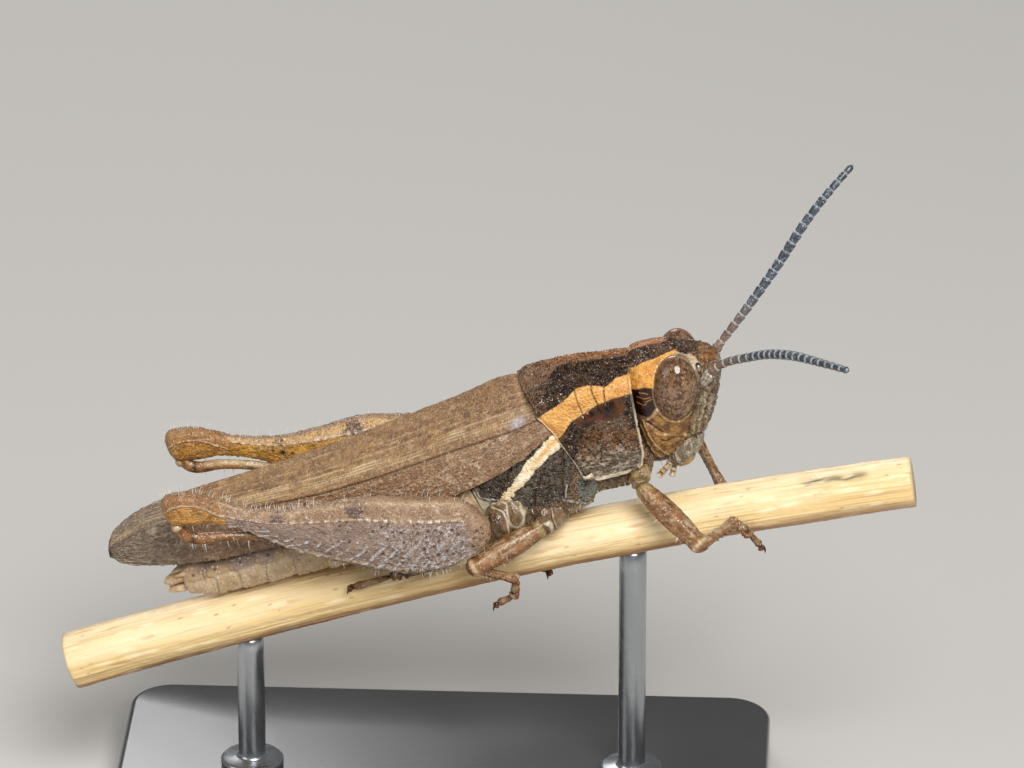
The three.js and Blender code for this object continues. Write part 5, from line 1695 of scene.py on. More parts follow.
@dataclass
class HindLeg:
    """A jumping leg: thigh, shin with spines, and three-jointed foot."""

    side: int
    name: str
    thigh: Rows = (
        (2.15, 2.15, 1.05, 0.4, 0.45), (1.85, 2.28, 1.14, 0.52, 0.76), (1.2, 2.42, 1.36, 0.6, 1.16),
        (0.16, 2.5, 1.47, 0.64, 1.4), (-0.9, 2.52, 1.71, 0.64, 1.44),
        (-2.16, 2.54, 2.15, 0.6, 1.32), (-3.3, 2.58, 2.49, 0.54, 1.08),
        (-4.3, 2.63, 2.81, 0.46, 0.82), (-5.3, 2.68, 3.22, 0.4, 0.54),
        (-6.1, 2.72, 3.63, 0.35, 0.37), (-6.75, 2.75, 3.95, 0.33, 0.36),
        (-7.6, 2.78, 4.37, 0.37, 0.52), (-8.3, 2.8, 4.62, 0.41, 0.66),
        (-8.8, 2.82, 4.72, 0.41, 0.64), (-9.08, 2.82, 4.72, 0.34, 0.55),
        (-9.2, 2.82, 4.71, 0.2, 0.34),
    )
    shin: Rows = ((-8.95, 2.8, 4.05), (-8.65, 2.76, 3.56), (-7.4, 2.66, 3.2), (-6.2, 2.55, 2.92),
                  (-5.0, 2.3, 2.4), (-3.6, 2.05, 1.72), (-1.8, 1.9, 0.8), (-0.1, 1.86, 0.12))
    foot: Rows = ((-0.05, 1.7, -0.16), (-0.5, 1.52, -0.28), (-1.6, 1.32, -0.36),
                  (-2.7, 1.26, -0.46), (-3.5, 1.24, -0.5))
    lift: float = 0.7                # how much higher the left leg is held at the hip
    spread: float = 0.45             # and how much wider
    knee: float = -8.5
    run: float = 6.5
    reach: tuple[float, float] = (0.34, -0.06)   # knee moved forward, right and left leg
    bend_from: float = -4.5          # x behind which the knee's move sets in
    bend_run: float = 3.0
    tuck: float = 0.3                # left shin held closer to the thigh
    density: tuple[int, int] = (400, 190)        # points along and around the thigh

    def held(self, rows: Rows) -> list[list[float]]:
        """Rows as this leg holds them."""
        left = self.side > 0
        held = []
        for x, y, z, *rest in rows:
            hip = left * min(max((x - self.knee) / self.run, 0), 1)
            bend = min(max((self.bend_from - x) / self.bend_run, 0), 1)
            held.append([x + bend * self.reach[left], self.side * (y + self.spread * hip),
                         z + self.lift * hip, *rest])
        return held

    def build(self) -> None:
        """Makes every piece of the leg."""
        self.build_coxa()
        self.build_thigh()
        self.build_shin()
        self.build_foot()

    def build_coxa(self) -> None:
        """The hip: a ring-wrinkled cone from the thorax to the thigh."""
        hip = self.held([(2.3, 2.0, 0.95)])[0]
        rows = stretch_of((3.2, self.side * 0.8, 1.1), hip,
                          ((0, 0.66), (0.3, 0.68), (0.55, 0.64), (0.8, 0.54), (1.0, 0.36)))
        grid = Limb(rows, along=60, around=60).grid()
        folds = ridged(grid.points, (0.42, 0.6, 1.1), seed=61)
        fine = noise(grid.points, (0.1, 0.3, 0.2), seed=62)
        grid.raised(0.08 * ease(folds, 0.6, 1) + 0.02 * fine)
        grid.mark(rim=ease(folds, 0.9, 0.98), smooth=0.5,
                  seam=hump(grid.t, 0.72, 0.04) + ease(0.6 - folds, 0, 0.3),
                  membrane=np.clip(0.55 + 0.8 * fine, 0, 0.8))
        dress(grid.shape(), f"hind_hip_{self.name}", HIP_SKIN, f"hind_coxa_{self.name}")

    def build_thigh(self) -> None:
        """The thigh with its keels, fishbone ribs and knee."""
        outline = oval(2.4)
        grid = Limb(self.held(self.thigh), outline=outline,
                    along=self.density[0], around=self.density[1]).grid()
        p = grid.points
        x, z = p[..., 0], p[..., 2]
        out = np.cos(grid.angle) * (-self.side)
        rise = outline(grid.angle)[1]
        keel_at = np.interp(-x, [-2, 0.5, 4.6, 5.5, 6.4, 7.2], [0.5, 0.56, 0.56, 0.4, 0.23, 0.08])
        outer = ease(out, 0.0, 0.25)
        inner = ease(-out, 0.1, 0.35)
        shaft = ease(x, -7.2, -6.6) * ease(1.9 - x, 0, 0.5)
        keel = hump(rise, keel_at, 0.035 + 0.05 * ease(-x, 5, 6.5)) * outer * shaft
        dashes = 0.55 + 0.45 * np.sign(np.sin(x * 21 + 1.5 * noise(p, 0.5, seed=63)))
        line = hump(rise, 0.93, 0.05) * outer * shaft
        low_keel = hump(rise, -0.8, 0.07) * outer * shaft
        inner_keel = hump(rise, 0.72, 0.06) * ease(-out, 0.05, 0.2) * shaft
        ribbed = (outer * shaft * (1 - ease(rise, keel_at - 0.12, keel_at - 0.02))
                  * ease(-x, -2.1, -1.4))
        middle = (keel_at - 0.8) / 2
        slant = x + np.abs(rise - middle) * 1.5 + 0.06 * noise(p, 0.3, seed=64)
        wave = np.sin(slant * 2 * math.pi / 0.5)
        broken = np.clip(0.75 + 1.5 * noise(p, (0.16, 0.3, 0.16), seed=68), 0, 1)
        lower = ease(middle + 0.1 - rise, 0, 0.2)
        grain, gap, lot = cells(p, 0.19, seed=65)
        net = (1 - ease(gap, 0, 0.16)) * ease(x, -2.6, -0.8)
        # stronger towards the lower half: painted highlight on the ribs
        ribs = np.clip(ease(wave, 0.35, 0.95) * broken * (0.3 + 0.7 * lower) + net, 0, 1) * ribbed
        spine = hump(rise, middle, 0.05) * ribbed * broken * 0.5
        pits = ease(0.34 - grain, 0, 0.12) * (lot > 0.35)
        pits *= np.maximum(ease(-wave, -0.6, 0.4), ease(x, -2.0, -0.8))
        pits *= outer * ease(x, -5, -3) * (1 - ease(rise, keel_at - 0.1, keel_at))
        knee = ease(grid.t, 0.79, 0.84)
        ridge = self.arc()
        arc = stroke(x, z, ridge, 0.08) * np.abs(np.cos(grid.angle)) ** 0.5
        lobe = ease(grid.t, 0.74, 0.8) * patch(
            x, z, [*ridge, (ridge[-1][0], 3.6), (ridge[0][0], 3.9)], 0.08)
        height = (
            0.05 * keel + 0.035 * line + 0.05 * low_keel + 0.04 * inner_keel
            + 0.035 * ribs + 0.02 * spine - 0.04 * pits + 0.05 * arc - 0.03 * lobe
            + 0.03 * noise(p, 0.12, seed=66, octaves=3) + 0.02 * noise(p, 0.6, seed=67)
            + 0.06 * hump(rise, 1.0, 0.07) * shaft
        )
        grid.raised(height * grid.fade(0.015))
        shift = 0.25 * (self.side > 0)
        bars = hump(x + shift + 0.15 * noise(p, 0.3, seed=69), -2.2, 0.42)
        bars += 0.75 * hump(x + shift + 0.12 * noise(p, 0.3, seed=70), -4.95, 0.32)
        spots = sum(hump(np.hypot(x - sx, (rise - sr) * 0.5), 0, size) for sx, sr, size in (
            (-5.15, 0.25, 0.11), (-5.5, 0.3, 0.07), (-4.8, 0.2, 0.05), (-3.1, 0.3, 0.08)))
        grid.mark(
            inner=inner * (1 - ease(rise, 0.62, 0.72)), upper=inner * ease(rise, 0.66, 0.76),
            ribbed=ribbed * 0.8, ribs=np.clip(ribs + 0.6 * spine, 0, 1), knee=knee * 0.85,
            lobe=lobe, bars=bars * (ease(rise, keel_at, keel_at + 0.05) * outer
                                    + 0.8 * inner * ease(rise, 0.6, 0.7)),
            pits=pits, carina=np.clip(keel * dashes + 0.9 * inner_keel * dashes, 0, 1),
            line=np.clip(line * 0.6 + arc + low_keel * 0.5, 0, 1),
            hair_top=ease(rise, 0.9, 0.98) * (ease(-x, 2.5, 5.0) + 0.15),
            hair_low=ease(-rise, 0.9, 0.98),
            black=np.clip(spots, 0, 1) * inner,
        )
        dress(grid.shape(), f"thigh_{self.name}", THIGH_CHITIN, f"hind_femur_{self.name}")

    def arc(self) -> list[tuple[float, float]]:
        """The curved ridge over the knee's lower lobe, as x and z."""
        points = self.held([(-9.16, 0, 4.8), (-8.86, 0, 4.96), (-8.49, 0, 4.97),
                            (-7.97, 0, 4.82), (-7.6, 0, 4.55), (-7.05, 0, 4.1)])
        return [(x, z) for x, _, z in points]

    def build_shin(self) -> None:
        """The shin, its two rows of spines, its spurs and the ball at the knee."""
        half = (0.17, 0.19, 0.16, 0.15, 0.15, 0.15, 0.155, 0.2)
        rows = self.held([(*row, h, h * 1.1) for row, h in zip(self.shin, half)])
        for row in rows if self.side > 0 else ():
            row[2] += self.tuck * ease(-row[0], 5.5, 7.5)
        grid = Limb(rows, outline=oval(2.3), along=220, around=40).grid()
        p = grid.points
        rise = np.sin(grid.angle)
        grid.raised(0.008 * noise(p, 0.1, seed=71) + 0.015 * hump(rise, 1, 0.2))
        grid.mark(
            streak=hump(rise, 0.5, 0.25) * (0.5 + 0.5 * noise(p, 0.5, seed=72)),
            dark=ease(noise(p, 0.9, seed=73), 0.0, 0.5) * 0.6, knee=1 - ease(grid.t, 0.1, 0.2),
            seam=hump(grid.t, 0.085, 0.012), hair=ease(-rise, -0.2, 0.4),
            # painted highlight: a pale streak on the top of the left shin towards the knee
            pale=0.75 * (self.side > 0) * ease(rise, -0.2, 0.4) * hump(grid.t, 0.25, 0.14),
        )
        ball = Limb(self.held([(-8.86, 2.84, 3.86, 0.05, 0.05), (-8.89, 2.84, 3.94, 0.19, 0.17),
                               (-8.91, 2.84, 4.06, 0.26, 0.21), (-8.93, 2.84, 4.18, 0.2, 0.17),
                               (-8.95, 2.84, 4.26, 0.05, 0.05)]), along=16, around=24).grid()
        ball.mark(pale=0.6, smooth=1.0)
        dress(Shape.join([grid.shape(), ball.shape()]), f"hind_shin_{self.name}", LEG_CHITIN,
              f"hind_tibia_{self.name}")
        self.build_spines(rows)

    def build_spines(self, rows: list[list[float]]) -> None:
        """Spines in two rows down the shin's free edge, and four spurs at its end."""
        spines = []
        for i in range(9):
            t = 0.3 + 0.66 * i / 8
            at, ahead = read_rows(rows, np.array([t, min(t + 0.01, 1)]))[:, :3]
            run = unit(ahead - at)
            down = np.cross(run, np.cross((0, 0, -1), run))
            for out in (-1, 1):
                side = np.array([0, out, 0])
                root = at + down * 0.1 + side * 0.07
                spines.append((root, root + down * 0.2 + run * 0.16 + side * 0.07, 0.045))
        end, run = np.array(rows[-1][:3]), np.array([0.97, 0, -0.25])
        for out, drop in ((-1, -0.5), (1, -0.5), (-1, 0.6), (1, 0.6)):
            tip = end + run * 0.34 + np.array([0, out * 0.2, drop * 0.25])
            spines.append((end + run * -0.02 + np.array([0, out * 0.09, drop * 0.08]), tip, 0.05))
        grow_spines(spines, f"shin_spines_{self.name}")

    def build_foot(self) -> None:
        """Three joints with pads under them, two claws and the lobe between."""
        first = self.held(self.foot)[0]
        path = [np.array(v) for v in [first, *mirrored(self.foot, self.side)[1:]]]
        build_foot(path, 0.15, f"hind_foot_{self.name}", f"hind_tarsus_{self.name}")


def build_foot(path: list[Array], half: float, name: str, node: str) -> None:
    """A foot of three joints along a path, with claws at its end.

    Args:
        path: points from the ankle to the claws' root.
        half: half thickness of the joints, mm.
        name: the piece's name.
        node: the CAD node that it replaces.
    """
    rows = [(*point, half, half) for point in path]
    shapes, horns = [], []
    spans = ((0.0, 0.4), (0.41, 0.55), (0.56, 0.97))
    for k, (start, end) in enumerate(spans):
        t = np.linspace(start, end, 7)
        sizes = np.array([0.55, 0.85, 0.95, 0.95, 1.05, 1.15, 0.6]) * (1.0, 1.0, 0.8)[k] * half
        joint = np.column_stack([read_rows(rows, t)[:, :3], sizes, sizes * 1.05])
        grid = Limb(joint, up=(0.2, 0.1, 1), along=26, around=22).grid()
        grid.raised(0.01 * noise(grid.points, 0.1, seed=81))
        grid.mark(dark=0.55 + 0.3 * grid.t, pale=0.3 * hump(grid.t, 0.5, 0.2),
                  seam=1 - grid.fade(0.1))
        shapes.append(grid.shape())
    dress(Shape.join(shapes), name, LEG_CHITIN, node)
    toe, before = read_rows(rows, np.array([0.96, 0.9]))[:, :3]
    run = unit(toe - before)
    aside = unit(np.cross(run, (0.1, 0.0, 1.0)))
    sole = np.cross(aside, run)
    sole = -sole if sole[2] > 0 else sole
    for out in (-1, 1):
        tip = toe + run * 0.26 + aside * out * 0.2 + sole * 0.14
        bend = -sole * 0.07 + aside * out * 0.03
        horns.append(horn(toe + aside * out * 0.05, tip, 0.06, bend))
    horns.append(pad_of(toe, toe + run * 0.24 + sole * 0.06, (0.04, 0.09, 0.12, 0.03), (14, 16)))
    for start, end in spans[:2]:
        for t in np.linspace(start + 0.05, end - 0.02, 3 if end < 0.5 else 1):
            at = read_rows(rows, np.array([t]))[0, :3] + sole * half * 0.75
            horns.append(pad_of(at - run * 0.1, at + run * 0.1 + sole * 0.02,
                                (0.03, 0.09, 0.1, 0.03), (10, 14)))
    dress(Shape.join(horns), f"{name}_claws", CLAW_HORN)


@dataclass
class WalkingLeg:
    """A fore or middle leg, by its joint centres."""

    name: str
    root: Sequence[float]
    hip: Sequence[float]
    knee: Sequence[float]
    ankle: Sequence[float]
    foot: Sequence[float]
    toe: Sequence[float]

    def build(self) -> None:
        """Makes hip, thigh, shin and foot."""
        seed = 90 + sum(map(ord, self.name)) % 50
        self.build_stretch("hip", "coxa", self.root, self.hip, (
            (0, 0.3), (0.2, 0.4), (0.5, 0.41), (0.72, 0.35), (0.78, 0.26), (0.86, 0.3),
            (0.97, 0.28), (1.05, 0.14)), seed, green=0.6 if "fore" in self.name else 0.1)
        self.build_stretch("thigh", "femur", self.hip, self.knee, (
            (-0.02, 0.12), (0.03, 0.24), (0.15, 0.31), (0.45, 0.38), (0.75, 0.34), (0.88, 0.3),
            (0.96, 0.32), (1.02, 0.25), (1.06, 0.08)), seed + 1)
        self.build_stretch("shin", "tibia", self.knee, self.ankle, (
            (-0.03, 0.1), (0.02, 0.19), (0.1, 0.17), (0.3, 0.155), (0.7, 0.15), (0.92, 0.18),
            (1.0, 0.17), (1.03, 0.08)), seed + 2)
        ankle, foot, toe = (np.array(v, float) for v in (self.ankle, self.foot, self.toe))
        path = [ankle, ankle * 0.4 + foot * 0.6, foot, toe]
        build_foot(path, 0.15, f"{self.name}_foot", f"{self.name}_tarsus")
        self.build_spines()

    def build_stretch(self, part: str, node: str, start: Sequence[float], end: Sequence[float],
                      sizes: Sequence[tuple[float, float]], seed: int, green: float = 0.0) -> None:
        """One stretch of the leg, with lengthwise keels and pale streaks.

        Args:
            part: the stretch's plain name.
            node: the CAD node's name for it.
            start, end: joint centres.
            sizes: pairs of share along and half thickness.
            seed: which pattern.
            green: how green the soft skin is.
        """
        grid = Limb(stretch_of(start, end, sizes), up=(0.3, 0, 1), outline=oval(2.2),
                    along=110, around=72).grid()
        p = grid.points
        along = (p - np.array(start)) @ unit(np.subtract(end, start))
        keels = sum(hump(np.cos(grid.angle - k), 1, 0.03) for k in (0.7, 2.3, 3.7, 5.4))
        ring = np.stack([along * 0.22, 0.3 * np.cos(grid.angle), 0.3 * np.sin(grid.angle)], -1)
        streaks = noise(ring, 0.1, seed=seed)
        small = {"shin": 1.0, "thigh": 1.4, "hip": 0.5}[part]
        speckle = ease(noise(p, (0.2, 0.1, 0.1), seed=seed + 3), 0.15, 0.5)
        grid.raised(0.02 * small * keels + 0.01 * noise(p, 0.1, seed=seed + 1))
        cloud = noise(p, 0.4, seed=seed + 2)
        hip, thigh = part == "hip", part == "thigh"
        grid.mark(
            green=green + 0.8 * thigh * ease(0.14 - grid.t, 0, 0.1),
            streak=np.clip(ease(streaks, 0.1, 0.6) + 0.5 * keels + speckle, 0, 1) * ease(
                np.sin(grid.angle), -0.5, 0.3) * (1 - 0.6 * hip),
            dark=ease(cloud, 0.2, 0.7) * 0.5 + hip * ease(streaks, 0.3, -0.2) * 0.7,
            seam=0.5 * (1 - grid.fade(0.05, 0.01)),
            knee=ease(grid.t, 0.82, 0.9) if thigh else (1 - ease(grid.t, 0.04, 0.12)) * 0.7,
            pale=hump(grid.t, 0.93, 0.025) * 0.7 * thigh,
            hair=0.15 + 0.85 * ease(-np.sin(grid.angle), 0.2, 0.6),
        )
        finish = LEG_CHITIN
        if hip and "middle" in self.name:
            finish = HIP_SKIN
            folds = ridged(p, (0.4, 0.6, 0.9), seed=seed + 4)
            grid.raised(0.07 * ease(folds, 0.6, 1))
            grid.mark(rim=ease(folds, 0.9, 0.98), smooth=0.5,
                      membrane=np.clip(0.5 + 0.8 * cloud, 0, 0.85), seam=ease(0.6 - folds, 0, 0.3))
        dress(grid.shape(), f"{self.name}_{part}", finish, f"{self.name}_{node}")

    def build_spines(self) -> None:
        """Two rows of short spines down the shin."""
        start, end = np.array(self.knee, float), np.array(self.ankle, float)
        run = unit(end - start)
        sole = unit(np.array([0, 0, -1.0]) - run * -run[2])
        aside = np.cross(run, sole)
        spines = []
        for i in range(6):
            at = start + (end - start) * (0.34 + 0.12 * i)
            for out in (-1, 1):
                root = at + sole * 0.09 + aside * out * 0.09
                spines.append((root, root + run * 0.14 + sole * 0.08 + aside * out * 0.09, 0.035))
        grow_spines(spines, f"{self.name}_shin_spines")


@dataclass
class Legs:
    """All six legs, in the pose in which they grip the stem."""

    # joint centres: root, hip, knee, ankle, foot and toe; y is the distance out
    walking: dict[str, Rows] = field(default_factory=lambda: {
        "fore_right": ((7.85, 0.7, 1.55), (7.82, 1.32, 1.0), (9.6, 2.9, -1.08),
                       (10.78, 1.26, -1.15), (11.12, 1.2, -1.75), (11.4, 0.95, -2.5)),
        "fore_left": ((7.85, 0.7, 1.55), (7.85, 1.35, 1.0), (9.62, 3.15, 0.32),
                      (10.3, 1.3, -0.9), (10.62, 1.22, -1.5), (10.95, 1.0, -2.3)),
        "middle_right": ((4.9, 0.7, 0.7), (4.05, 1.62, 0.4), (1.3, 2.66, -0.14),
                         (2.5, 1.36, -1.5), (2.3, 1.22, -2.1), (1.52, 0.98, -2.5)),
        "middle_left": ((4.9, 0.7, 0.7), (4.05, 1.62, 0.4), (1.45, 2.7, -0.2),
                        (2.75, 1.36, -1.4), (2.9, 1.22, -2.0), (3.3, 1.0, -2.6)),
    })

    def build(self) -> None:
        """Makes the six legs."""
        for name, joints in self.walking.items():
            side = SIDES[name.split("_")[1]]
            WalkingLeg(name, *mirrored(joints, side)).build()
        for name, side in SIDES.items():
            HindLeg(side, name).build()


# ------------------------------------------------------------------ feelers

# Feeler chitin: short dark rings, clouded and flecked blue-grey as painted highlights; satin, pale
# at each joint.
FEELER_CHITIN = Finish(
    name="feeler_chitin", slot="feeler", colour="#33383f", mottle="#4a525c", size=0.15,
    fleck="#9fb0c2", fleck_size=0.08, fleck_amount=0.3, rough=0.26, grain=0.008,
    layers=(
        Layer("warm", "#6d5340", "#8d7058", 0.15, strength=0.85),
        Layer("ring", "#b9bdbc", "#8d9396", 0.12, strength=0.65),
        Layer("pale", "#cfc8b8", "#a79a84", 0.1),
    ),
)


@dataclass
class Feelers:
    """The two antennae: a stout root joint, a bead and a whip of short rings."""

    paths: dict[str, Rows] = field(default_factory=lambda: {
        "right": ((11.0, -1.0, 4.36), (11.58, -1.2, 4.86), (13.07, -2.0, 5.35), (14.54, -3.7, 5.87),
                  (15.93, -5.4, 6.0), (16.84, -6.4, 5.97)),
        "left": ((11.05, 0.8, 4.3), (11.6, 0.85, 4.78), (12.92, 1.4, 5.76), (14.33, 2.2, 6.83),
                 (15.67, 2.9, 7.97), (16.82, 3.5, 8.75), (17.66, 4.0, 9.21)),
    })
    whip_start: float = 0.07         # share of the path where the whip begins
    rings: int = 21
    base_half: float = 0.15
    middle_half: float = 0.175
    tip_half: float = 0.12
    stations: int = 14               # along each ring
    sides: int = 18                  # round the whip

    def build(self) -> None:
        """Makes both feelers."""
        tree = self.ring_tree()
        for name, path in self.paths.items():
            fine = read_rows(path, np.linspace(self.whip_start, 1, 120))
            whip = tree.grow(self.thread(fine), f"feeler_whip_{name}", rings=self.rings,
                             base_half=self.base_half * MM, middle_half=self.middle_half * MM,
                             tip_half=self.tip_half * MM)
            place_piece(whip, "feeler", f"antenna_{name}")
            self.build_root(name, path)

    def thread(self, points: Array) -> Piece:
        """A curve object along body-frame points, in the model's frame."""
        curve = bpy.data.curves.new("thread", "CURVE")
        curve.dimensions = "3D"
        spline = curve.splines.new("POLY")
        spline.points.add(len(points) - 1)
        place = np.column_stack([to_frame(points), np.ones(len(points))])
        spline.points.foreach_set("co", place.astype(np.float32).ravel())
        return linked("thread", curve)

    def ring_tree(self) -> NodeTree:
        """A tube whose radius pinches in at each joint, marked pale there."""
        tree = NodeTree("feeler rings", {
            "Rings": ("NodeSocketInt", self.rings),
            "Base half": ("NodeSocketFloat", self.base_half * MM),
            "Middle half": ("NodeSocketFloat", self.middle_half * MM),
            "Tip half": ("NodeSocketFloat", self.tip_half * MM),
        })
        given = tree.given
        count = tree.math("MULTIPLY", given["Rings"], float(self.stations))
        curve = tree.out("GeometryNodeResampleCurve", {"Curve": given["Geometry"], "Count": count})
        share = tree.node("GeometryNodeSplineParameter").outputs["Factor"]
        local = tree.math("FRACT", tree.math("MULTIPLY", share, given["Rings"]))
        soft = {"interpolation_type": "SMOOTHSTEP"}
        swell = tree.remap(tree.math("PINGPONG", local, 0.5), 0.0, 0.16, 0.78, 1.0, **soft)
        bulge = tree.remap(local, 0.2, 0.9, 0.94, 1.06, **soft)
        rise = tree.remap(share, 0.0, 0.45, given["Base half"], given["Middle half"])
        fall = tree.remap(share, 0.6, 1.0, given["Middle half"], given["Tip half"])
        tip = tree.remap(share, 0.985, 1.0, 1.0, 0.35)
        half = tree.math("MULTIPLY", tree.math("MINIMUM", rise, fall),
                         tree.math("MULTIPLY", swell, bulge))
        half = tree.math("MULTIPLY", half, tip)
        ring = tree.remap(local, 0.8, 0.93, **soft)
        warm = tree.remap(share, 0.05, 0.3, 1.0, 0.0)
        curve = tree.store(tree.store(curve, "ring", ring), "warm", warm)
        circle = tree.out("GeometryNodeCurvePrimitiveCircle", {
            "Resolution": self.sides, "Radius": 1.0})
        tube = tree.out("GeometryNodeCurveToMesh", {
            "Curve": curve, "Profile Curve": circle, "Scale": half, "Fill Caps": True})
        tree.finish(tube, FEELER_CHITIN)
        return tree

    def build_root(self, name: str, path: Rows) -> None:
        """The stout first joint and the bead after it."""
        start, along = read_rows(path, np.array([0.0, 0.05]))
        run = unit(along - start)
        shapes = []
        for sizes, ribbed in (
            (((-0.2, 0.1), (-0.05, 0.17), (0.15, 0.19), (0.4, 0.19), (0.52, 0.16), (0.56, 0.08)),
             1),
            (((0.54, 0.08), (0.58, 0.15), (0.68, 0.17), (0.76, 0.15), (0.8, 0.08)), 0),
        ):
            rows = [(*(start + run * d), half, half) for d, half in sizes]
            grid = Limb(rows, along=40, around=40).grid()
            ridges = ease(np.sin(grid.angle * 9 + 3 * noise(grid.points, 0.4, seed=85)), 0.2, 0.9)
            grid.raised(0.02 * ridges + 0.008 * noise(grid.points, 0.08, seed=86))
            grid.mark(pale=(0.3 + 0.7 * ridges) * ribbed, warm=0.9)
            shapes.append(grid.shape())
        dress(Shape.join(shapes), f"feeler_root_{name}", FEELER_CHITIN)


# ------------------------------------------------------------------ perch and stand

# Dry grass stem: sun-bleached straw; satin, finely fibred along its length; painted light on its
# top and painted shade beneath.
DRY_STRAW = Finish(
    name="dry_straw", slot="straw", colour="#ecd09a", mottle="#dfbd80", size=0.9,
    fleck="#fff0cf", pit="#c79a5c", fleck_size=0.12, fleck_amount=0.3, pit_amount=0.2,
    fleck_strength=0.5, rough=0.36, grain=0.02, grain_size=0.08, stretch=(0.12, 1.0, 0.5),
    see_through=0.12,
    layers=(
        Layer("lit", "#f4e0b8", "#ead09c", 0.5, strength=0.8),
        Layer("fibre", "#c39a5d", "#a98049", 0.4, strength=0.3),
        # under: painted shade on the stem's underside
        Layer("under", "#a87450", "#8a5c42", 0.6, strength=0.7),
        Layer("blotch", "#c07f35", "#9a5d22", 0.4, strength=0.75, ragged=0.15),
        Layer("slit", "#5a5048", "#3c342e", 0.1),
        Layer("speck", "#5a4632", strength=0.5),
    ),
)
# Display base: dark cast acrylic with polished faces; it mirrors the rods softly.
CAST_ACRYLIC = Finish(
    name="cast_acrylic", slot="stand_plate", colour="#3a3a3c", mottle="#363638", size=6.0,
    rough=0.16, rough_spread=0.02, coat=0.3, grain=0.0008, grain_size=0.2,
)
# Stand rods: drawn stainless wire; bright metal with faint draw lines along it.
DRAWN_STEEL = Finish(
    name="drawn_steel", slot="stand_steel", colour="#b9bcc0", mottle="#a9adb2", size=0.6,
    metallic=1.0, rough=0.28, rough_spread=0.06, grain=0.002, grain_size=0.06,
    stretch=(1.0, 1.0, 0.04),
)


@dataclass
class Perch:
    """The cut length of arched dry stem that the insect stands on."""

    rear: tuple[float, float] = (-13.6, 5.64)
    crown: tuple[float, float] = (3.03, 11.35)
    front: tuple[float, float] = (17.1, 13.7)
    rear_half: float = 1.02
    front_half: float = 0.92
    density: tuple[int, int] = (380, 190)    # points along and around

    def path(self) -> tuple[Array, Array]:
        """Places along the stem's middle, as x and height, and its half thickness there."""
        t = np.linspace(0, 1, 90)[:, None]
        a, b, c = (np.array(p) for p in (self.rear, self.crown, self.front))
        path = (1 - t) ** 2 * a + 2 * t * (1 - t) * b + t * t * c
        return path, self.rear_half + (self.front_half - self.rear_half) * t[:, 0]

    def underside(self, x: float) -> float:
        """Height of the stem's lowest line at x."""
        path, half = self.path()
        return float(np.interp(x, path[:, 0], path[:, 1] - half))

    def build(self) -> None:
        """A long fibred tube with a slit, dark specks and two cut ends."""
        path, half = self.path()
        rows = [(*to_body(x, 0.0, z), h, h) for (x, z), h in zip(path, half)]
        grid = Limb(rows, along=self.density[0], around=self.density[1]).grid()
        p = grid.points
        steps = np.linalg.norm(np.diff(p[:, 0], axis=0), axis=1)
        turn = grid.angle
        length = np.broadcast_to(np.cumsum(np.r_[0, steps])[:, None], turn.shape)
        drawn_out = np.stack([np.cos(turn), np.sin(turn), length * 0.018], -1)
        fibres = noise(drawn_out, 0.045, seed=111)
        broad = noise(drawn_out, 0.3, seed=112)
        slow = noise(np.stack([np.cos(turn), np.sin(turn), length * 0.25], -1), 0.7, seed=113)
        x, y, z = np.moveaxis(p, -1, 0)
        right = ease(-y, 0.2, 0.5)
        middle = np.interp(x, [13.2, 15.9], [-0.58, -0.8])
        slit = hump(z + 0.02 * noise(p, 0.3, seed=114), middle, 0.09)
        slit = slit * ease(x, 13.15, 13.7) * ease(15.95 - x, 0, 0.5) * right
        slit *= 0.55 + 0.45 * noise(p, (0.5, 0.1, 0.1), seed=115)
        gap, _, lot = cells(np.stack([length, turn * 0.9, 0 * turn], -1), (0.5, 0.2, 1), seed=116)
        specks = ease(0.2 - gap, 0, 0.08) * (lot > 0.72)
        grid.raised(0.02 * fibres + 0.03 * broad + 0.03 * slow - 0.07 * np.clip(slit, 0, 1)
                    - 0.03 * (1 - grid.fade(0.004)) + 0.01 * noise(p, 0.12, seed=117))
        sky = np.sin(turn)
        blotch = right * sum(dot((x - sx) / 1.6, (z - sz) / 0.5, (0, 0), 0.5)
                             for sx, sz in ((-8.4, -2.7), (-9.6, -3.2), (-7.2, -2.6)))
        grid.mark(
            lit=ease(sky + 0.3 * slow, -0.1, 0.5), fibre=ease(fibres + 0.4 * broad, 0.15, 0.6),
            # under is painted shade beneath the stem
            under=ease(-sky + 0.25 * broad, 0.25, 0.8), blotch=np.clip(blotch, 0, 1),
            slit=np.clip(slit * 1.3, 0, 1), speck=specks,
        )
        dress(grid.shape(), "dry_stem", DRY_STRAW, "perch_stem")


